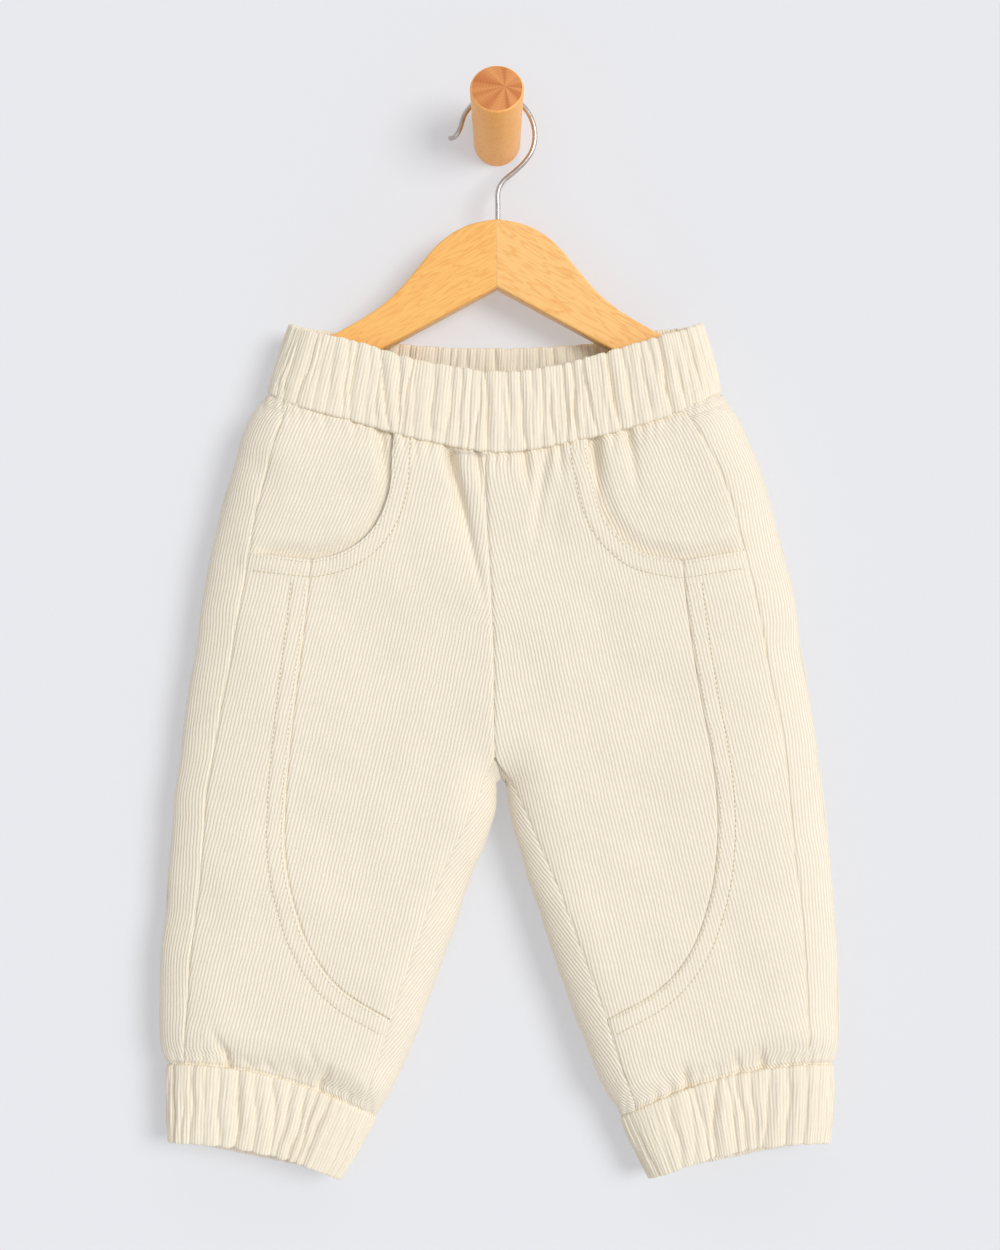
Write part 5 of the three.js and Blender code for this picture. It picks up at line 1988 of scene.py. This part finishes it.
@dataclass
class HangerHook:
    """The steel wire that goes up from the hanger and over the peg.

    Attributes:
        loop_z: Height of the loop's centre.
        rise: How far the loop rises over that centre.
        drop: How far it would reach below it.
        loop_degrees: Start, end and step of the angles at which it is laid out.
    """

    plane_y: float = -17.0
    wire_radius: float = 1.3
    loop_z: float = -0.7
    half_width: float = 19.3
    rise: float = 20.9
    drop: float = 19.4
    loop_degrees: tuple[float, float, float] = (-45, 170.1, 21.5)
    tip_share: float = 0.02
    steps: int = 220
    sides: int = 16

    def path(self) -> Array:
        """The wire's centreline: stem, loop and bent-out tip.

        Returns:
            Points from the hanger to the tip.
        """
        stem = [(0.4, -43.5), (0.4, -36), (0.5, -29), (3, -24), (8.8, -19)]
        tip = [(-21.6, -1.2), (-25, -2.2)]
        loop = []
        for angle in np.radians(np.arange(*self.loop_degrees)):
            height = self.rise if math.sin(angle) > 0 else self.drop
            loop.append((self.half_width * math.cos(angle), self.loop_z + height * math.sin(angle)))
        knots = np.array([*stem, *loop, *tip])
        chords = np.sqrt(np.linalg.norm(np.diff(knots, axis=0), axis=1))
        along = np.concatenate([[0], np.cumsum(chords)])
        at = np.linspace(0, along[-1], self.steps)
        return np.stack([smooth_curve(along, knots[:, axis], at) for axis in (0, 1)], -1)

    def build(self, material: Material) -> Piece:
        """Builds the wire as a tube with a rounded tip.

        Args:
            material: The steel.

        Returns:
            The finished piece.
        """
        line = self.path()
        way = np.gradient(line, axis=0)
        way /= np.linalg.norm(way, axis=1, keepdims=True)
        side = np.stack([way[:, 1], -way[:, 0]], -1)
        along = np.concatenate([[0], np.cumsum(np.linalg.norm(np.diff(line, axis=0), axis=1))])
        to_end = along[-1] - along
        tip = np.clip(1 - (1 - to_end / self.wire_radius) ** 2, self.tip_share, 1)
        radius = self.wire_radius * np.sqrt(np.where(to_end < self.wire_radius, tip, 1.0))
        turn = np.linspace(0, 2 * math.pi, self.sides + 1)
        turn[-1] = 0
        flat = line[:, None] + side[:, None] * (radius[:, None] * np.cos(turn))[..., None]
        y = self.plane_y + radius[:, None] * np.sin(turn)
        points = np.stack([flat[..., 0], y, flat[..., 1]], -1)
        cut = np.stack(np.broadcast_arrays(turn[None], along[:, None]), -1)
        mesh = grid_mesh(Patch(points, points, cut))
        shape = bmesh.new()
        shape.from_mesh(mesh)
        bpy.data.meshes.remove(mesh)
        bmesh.ops.remove_doubles(shape, verts=shape.verts, dist=WELD)
        bmesh.ops.holes_fill(shape, edges=shape.edges, sides=0)
        bmesh.ops.recalc_face_normals(shape, faces=shape.faces)
        return dress(linked("hanger_hook_wire", shape), (material,), "hanger_hook")


@dataclass
class WallPeg:
    """The round wooden peg, whose axis rises as it comes forward.

    Attributes:
        upright_share: Share of the length over which its sections turn from the wall's plane.
        end_facing: How squarely a face looks along the axis to count as the sawn end.
    """

    back_radius: float = 12.0
    front_radius: float = 13.4
    length: float = 50.0
    tilt: float = 17.5
    edge_round: float = 1.2
    upright_share: float = 0.2
    end_facing: float = 0.95
    segments: int = 96

    def build(self, side_wood: Material, end_wood: Material) -> Piece:
        """Builds the peg by spinning its profile.

        Args:
            side_wood: Material of the turned side.
            end_wood: Material of the sawn end.

        Returns:
            The finished piece.
        """
        rounding = [
            (
                self.front_radius - self.edge_round * (1 - math.cos(angle)),
                self.length - self.edge_round * (1 - math.sin(angle)),
            )
            for angle in np.linspace(0, math.pi / 2, 6)
        ]
        root = self.length * self.upright_share
        swell = (self.front_radius - self.back_radius) * self.upright_share
        profile = [(0.0, 0.0)]
        profile += [(self.back_radius + swell * t, root * t) for t in np.linspace(0, 1, 5)]
        profile += [*rounding, (self.front_radius / 2, self.length), (0.0, self.length)]
        shape = bmesh.new()
        verts = [shape.verts.new((radius, along, 0)) for radius, along in profile]
        edges = [shape.edges.new(pair) for pair in zip(verts, verts[1:])]
        bmesh.ops.spin(
            shape,
            geom=[*verts, *edges],
            cent=(0, 0, 0),
            axis=(0, 1, 0),
            angle=2 * math.pi,
            steps=self.segments,
            use_merge=True,
        )
        bmesh.ops.remove_doubles(shape, verts=shape.verts, dist=PEG_WELD)
        bmesh.ops.recalc_face_normals(shape, faces=shape.faces)
        tilt = math.radians(self.tilt)
        for vert in shape.verts:
            x, along, up = vert.co
            lean = tilt * float(smooth_step(np.array(along / root)))
            y = -along * math.cos(tilt) + up * math.sin(lean)
            vert.co = Vector((x, y, along * math.sin(tilt) + up * math.cos(lean))) * MM
        bmesh.ops.recalc_face_normals(shape, faces=shape.faces)
        end_way = Vector((0, -math.cos(tilt), math.sin(tilt)))
        for face in shape.faces:
            face.normal_update()
            face.material_index = 1 if face.normal.dot(end_way) > self.end_facing else 0
        piece = linked("wall_peg_turned", shape)
        piece.data.set_sharp_from_angle(angle=PEG_SHARP_ANGLE)
        return dress(piece, (side_wood, end_wood), "wall_peg")


@dataclass
class Studio:
    """Camera, wall, floor and soft light.

    Attributes:
        lens: Focal length for a 36 mm long side.
        camera: Where the camera stands, in millimetres.
        floor_z: Height of the floor, in millimetres.
        wall_y: How far the wall's paint lies behind the peg's back.
        sky: Strength of the even light.
        glow: Share of the wall's brightness that comes from lamps behind the backdrop.
        key: Strength of the light from the right.
        key_width: How wide that light looks, in degrees.
        key_way: The way it shines.
        mottle: Brightness of the darker patches of paint.
    """

    lens: float = 55.6
    camera: Place = (1.53, -1000.0, -249.7)
    floor_z: float = -1300.0
    wall_y: float = 0.4
    sky: float = 0.567
    key: float = 1.7
    glow: float = 0.35
    key_width: float = 27.0
    key_way: Place = (-0.56, 0.8, -0.18)
    mottle: float = 0.985

    def build(self) -> None:
        """Sets up the whole studio."""
        self._camera()
        self._wall_and_floor()
        self._lights()
        bpy.context.scene.view_settings.view_transform = "Standard"

    def _camera(self) -> None:
        """Looks straight at the wall, as the photograph does."""
        data = bpy.data.cameras.new("camera")
        data.lens = self.lens
        data.sensor_width = 36.0
        camera = bpy.data.objects.new("camera", data)
        camera.location = Vector(self.camera) * MM
        camera.rotation_euler = (math.pi / 2, 0, 0)
        bpy.context.scene.collection.objects.link(camera)
        bpy.context.scene.camera = camera

    def _wall_and_floor(self) -> None:
        """A pale wall that is clear from behind, and a pale floor."""
        wall = self._plane("wall", 4.0, (0, self.wall_y * MM, -0.2), (math.pi / 2, 0, 0))
        wall.data.materials.append(self._paint("wall_paint", srgb(233, 234, 238), True))
        floor = self._plane("floor", 6.0, (0, 0, self.floor_z * MM), (0, 0, 0))
        floor.data.materials.append(self._paint("floor_paint", srgb(228, 228, 230), False))

    @staticmethod
    def _plane(name: str, size: float, place: Place, turn: Place) -> Piece:
        """A flat square of the stage.

        Args:
            name: The object's name.
            size: Length of one side, in metres.
            place: Its centre.
            turn: How it is turned.

        Returns:
            The object.
        """
        shape = bmesh.new()
        bmesh.ops.create_grid(shape, x_segments=2, y_segments=2, size=size / 2)
        piece = linked(name, shape)
        piece.location = place
        piece.rotation_euler = turn
        return piece

    @staticmethod
    def _paint(name: str, colour: Colour, clear_behind: bool) -> Material:
        """Matt paint with a faint mottle.

        Args:
            name: The material's name.
            colour: The paint.
            clear_behind: Whether the back of the surface is seen through.

        Returns:
            The material.
        """
        shading = Shading(name)
        lit = Studio.glow if clear_behind else 0.0
        base = darker(colour, 1 - lit)
        patches = shading.noise(shading.node("TexCoord").outputs["Object"], 5.0, 3.0)
        shader = shading.node("BsdfPrincipled", {
            "Base Color": shading.blend(patches, darker(base, Studio.mottle), base),
            "Roughness": 0.9,
            "Specular IOR Level": 0.1,
            "Emission Color": colour,
            "Emission Strength": lit,
        })
        if clear_behind:
            behind = shading.node("NewGeometry").outputs["Backfacing"]
            shadow = shading.node("LightPath").outputs["Is Shadow Ray"]
            clear = shading.node("BsdfTransparent")
            share = shading.math("MAXIMUM", behind, shadow)
            shader = shading.node("MixShader", {0: share, 1: shader.outputs[0], 2: clear.outputs[0]})
        return shading.finish(shader)

    def _lights(self) -> None:
        """Even light all round, and one wide soft light from the right."""
        world = bpy.data.worlds.new("studio")
        world.use_nodes = True
        background = world.node_tree.nodes["Background"]
        background.inputs[0].default_value = (1.0, 1.0, 1.0, 1.0)
        background.inputs[1].default_value = self.sky
        bpy.context.scene.world = world
        data = bpy.data.lights.new("key", "SUN")
        data.angle = math.radians(self.key_width)
        data.energy = self.key
        lamp = bpy.data.objects.new("key", data)
        lamp.rotation_euler = Vector(self.key_way).to_track_quat("-Z", "Y").to_euler()
        bpy.context.scene.collection.objects.link(lamp)


@dataclass
class Garment:
    """The trousers, sewn from their pieces."""

    def build(self) -> None:
        """Builds the waistband, each leg and its stitches."""
        body, band = BODY_CORDUROY.material(), BAND_CORDUROY.material()
        thread = THREAD.material()
        self.waistband().build(band)
        for side in Side:
            self.panels(side, body)
            self.cuff(side).build(band)
            Topstitching(side).build(thread)

    def panels(self, side: Side, material: Material) -> None:
        """Builds the four panels of one side.

        Args:
            side: The leg.
            material: The cloth's material.
        """
        def cloth(kind: str, flat: Pair, area: float) -> ClothPiece:
            """One panel's cloth."""
            node = f"{kind}_{side.value}"
            return ClothPiece(f"{node}_cloth", node, flat, area, "hung", ("waistband",))

        centre, outer = cloth("front_centre", (112, 292), 221), cloth("front_side", (106, 262), 139)
        FrontPanel(side, "front_centre", centre, 14.0, 84.0).build(material)
        FrontPanel(side, "front_side", outer, 14.0, 62.0).build(material)
        pocket = cloth("pocket_facing", (78, 92), 53)
        PocketFacing(side, "pocket_facing", pocket, 22.0, 56.0).build(material)
        BackPanel(side, cloth("back", (212, 352), 628)).build(material)

    def ring_cloth(
        self, node: str, flat: Pair, area: float, rests_on: tuple[str, ...]
    ) -> ClothPiece:
        """Cloth that is gathered over a ring of elastic.

        Args:
            node: The solid that it stands for.
            flat: Width and length of the cut that shows.
            area: Its area, in square centimetres.
            rests_on: What it hangs from.

        Returns:
            The cloth.
        """
        wall = BAND_WALL if node == "waistband" else CUFF_WALL
        return ClothPiece(f"{node}_cloth", node, flat, area, "gathered", rests_on, "band_cloth", wall)

    def waistband(self) -> GatheredRing:
        """The gathered waistband.

        Returns:
            The ring, not yet built.
        """
        arms = ("hanger_arm_left", "hanger_arm_right")
        return GatheredRing(
            cloth=self.ring_cloth("waistband", (560, 41), 229.6, arms),
            top=RingSection(-104.5, 104, 13, 22, 22),
            bottom=RingSection(-116.2, 113.7, WAIST_SEAM_DEPTH, 24, 24),
            top_z=lambda x, front: np.where(
                front, BAND_TOP_FRONT.read("x", "z", x), BAND_TOP_BACK.read("x", "z", x)
            ),
            bottom_z=lambda x, front: RING_GAP / 2
            + np.where(front, waist_seam_z(x, True), waist_seam_z(x, False)),
            valleys=BAND_VALLEYS,
            gathers=94,
            seed=12,
            columns=980,
        )

    def cuff(self, side: Side) -> GatheredRing:
        """The gathered cuff of one leg.

        Args:
            side: The leg.

        Returns:
            The ring, not yet built.
        """
        shape = CUFF_SHAPES[side]

        def section(folds: Pair, depth: float, reaches: Pair) -> RingSection:
            """The cuff's section, given its outer and inner fold, and how far in each rounds."""
            way = 1 if side is Side.LEFT else -1
            return RingSection(*folds[::way], depth, *reaches[::way])

        return GatheredRing(
            cloth=self.ring_cloth(
                f"cuff_{side.value}", (285, 36), 102.6, (f"front_side_{side.value}_cloth",)
            ),
            top=section((shape.top_outer[0], shape.top_inner[0]), CUFF_SEAM_DEPTH, (28, 24)),
            bottom=section((shape.bottom_outer[0], shape.bottom_inner[0]), 10, (20, 20)),
            top_z=lambda x, front: shape.edge_z(x, True, front) - RING_GAP / 2,
            bottom_z=lambda x, front: shape.edge_z(x, False, front),
            valleys=CUFF_VALLEYS[side],
            gathers=34,
            seed=31 if side is Side.LEFT else 47,
            columns=460,
            smooth_zone=(-99, -79) if side is Side.LEFT else (78, 96),
            stand=3.2,
            bottom_hold=0.75,
            top_hold=0.6,
        )


@dataclass
class Hanging:
    """The hanger, its hook and the wall peg."""

    def build(self) -> None:
        """Builds and dresses the pieces that hold the garment."""
        light, dark = srgb(255, 193, 106), srgb(240, 164, 76)
        pine = {
            Side.LEFT: Wood("pine_left", light, dark, turn=30.0),
            Side.RIGHT: Wood("pine_right", srgb(255, 200, 122), dark, turn=-30.0),
        }
        HangerArm(Side.LEFT, 104.2, 106.2, -136.0).build(pine[Side.LEFT].material())
        HangerArm(Side.RIGHT, 102.7, 104.7, -135.5).build(pine[Side.RIGHT].material())
        steel = Steel("wire_steel", (0.72, 0.68, 0.66, 1.0), (0.48, 0.42, 0.4, 1.0))
        HangerHook().build(steel.material())
        side_wood = Wood("peg_side", srgb(255, 190, 108), srgb(252, 160, 78), turn=90.0, gloss=0.15)
        sawn = srgb(228, 154, 90), srgb(196, 110, 54)
        end_wood = EndGrain("peg_end", *sawn, (0.004, -0.0477, 0.0165), WallPeg.tilt)
        WallPeg().build(side_wood.material(), end_wood.material())


def main() -> None:
    """Builds the studio, the hanger and the garment."""
    logging.basicConfig(level=logging.INFO, format="%(name)s: %(message)s")
    Studio().build()
    Hanging().build()
    Garment().build()
    bpy.context.view_layer.update()


if __name__ == "__main__":
    main()
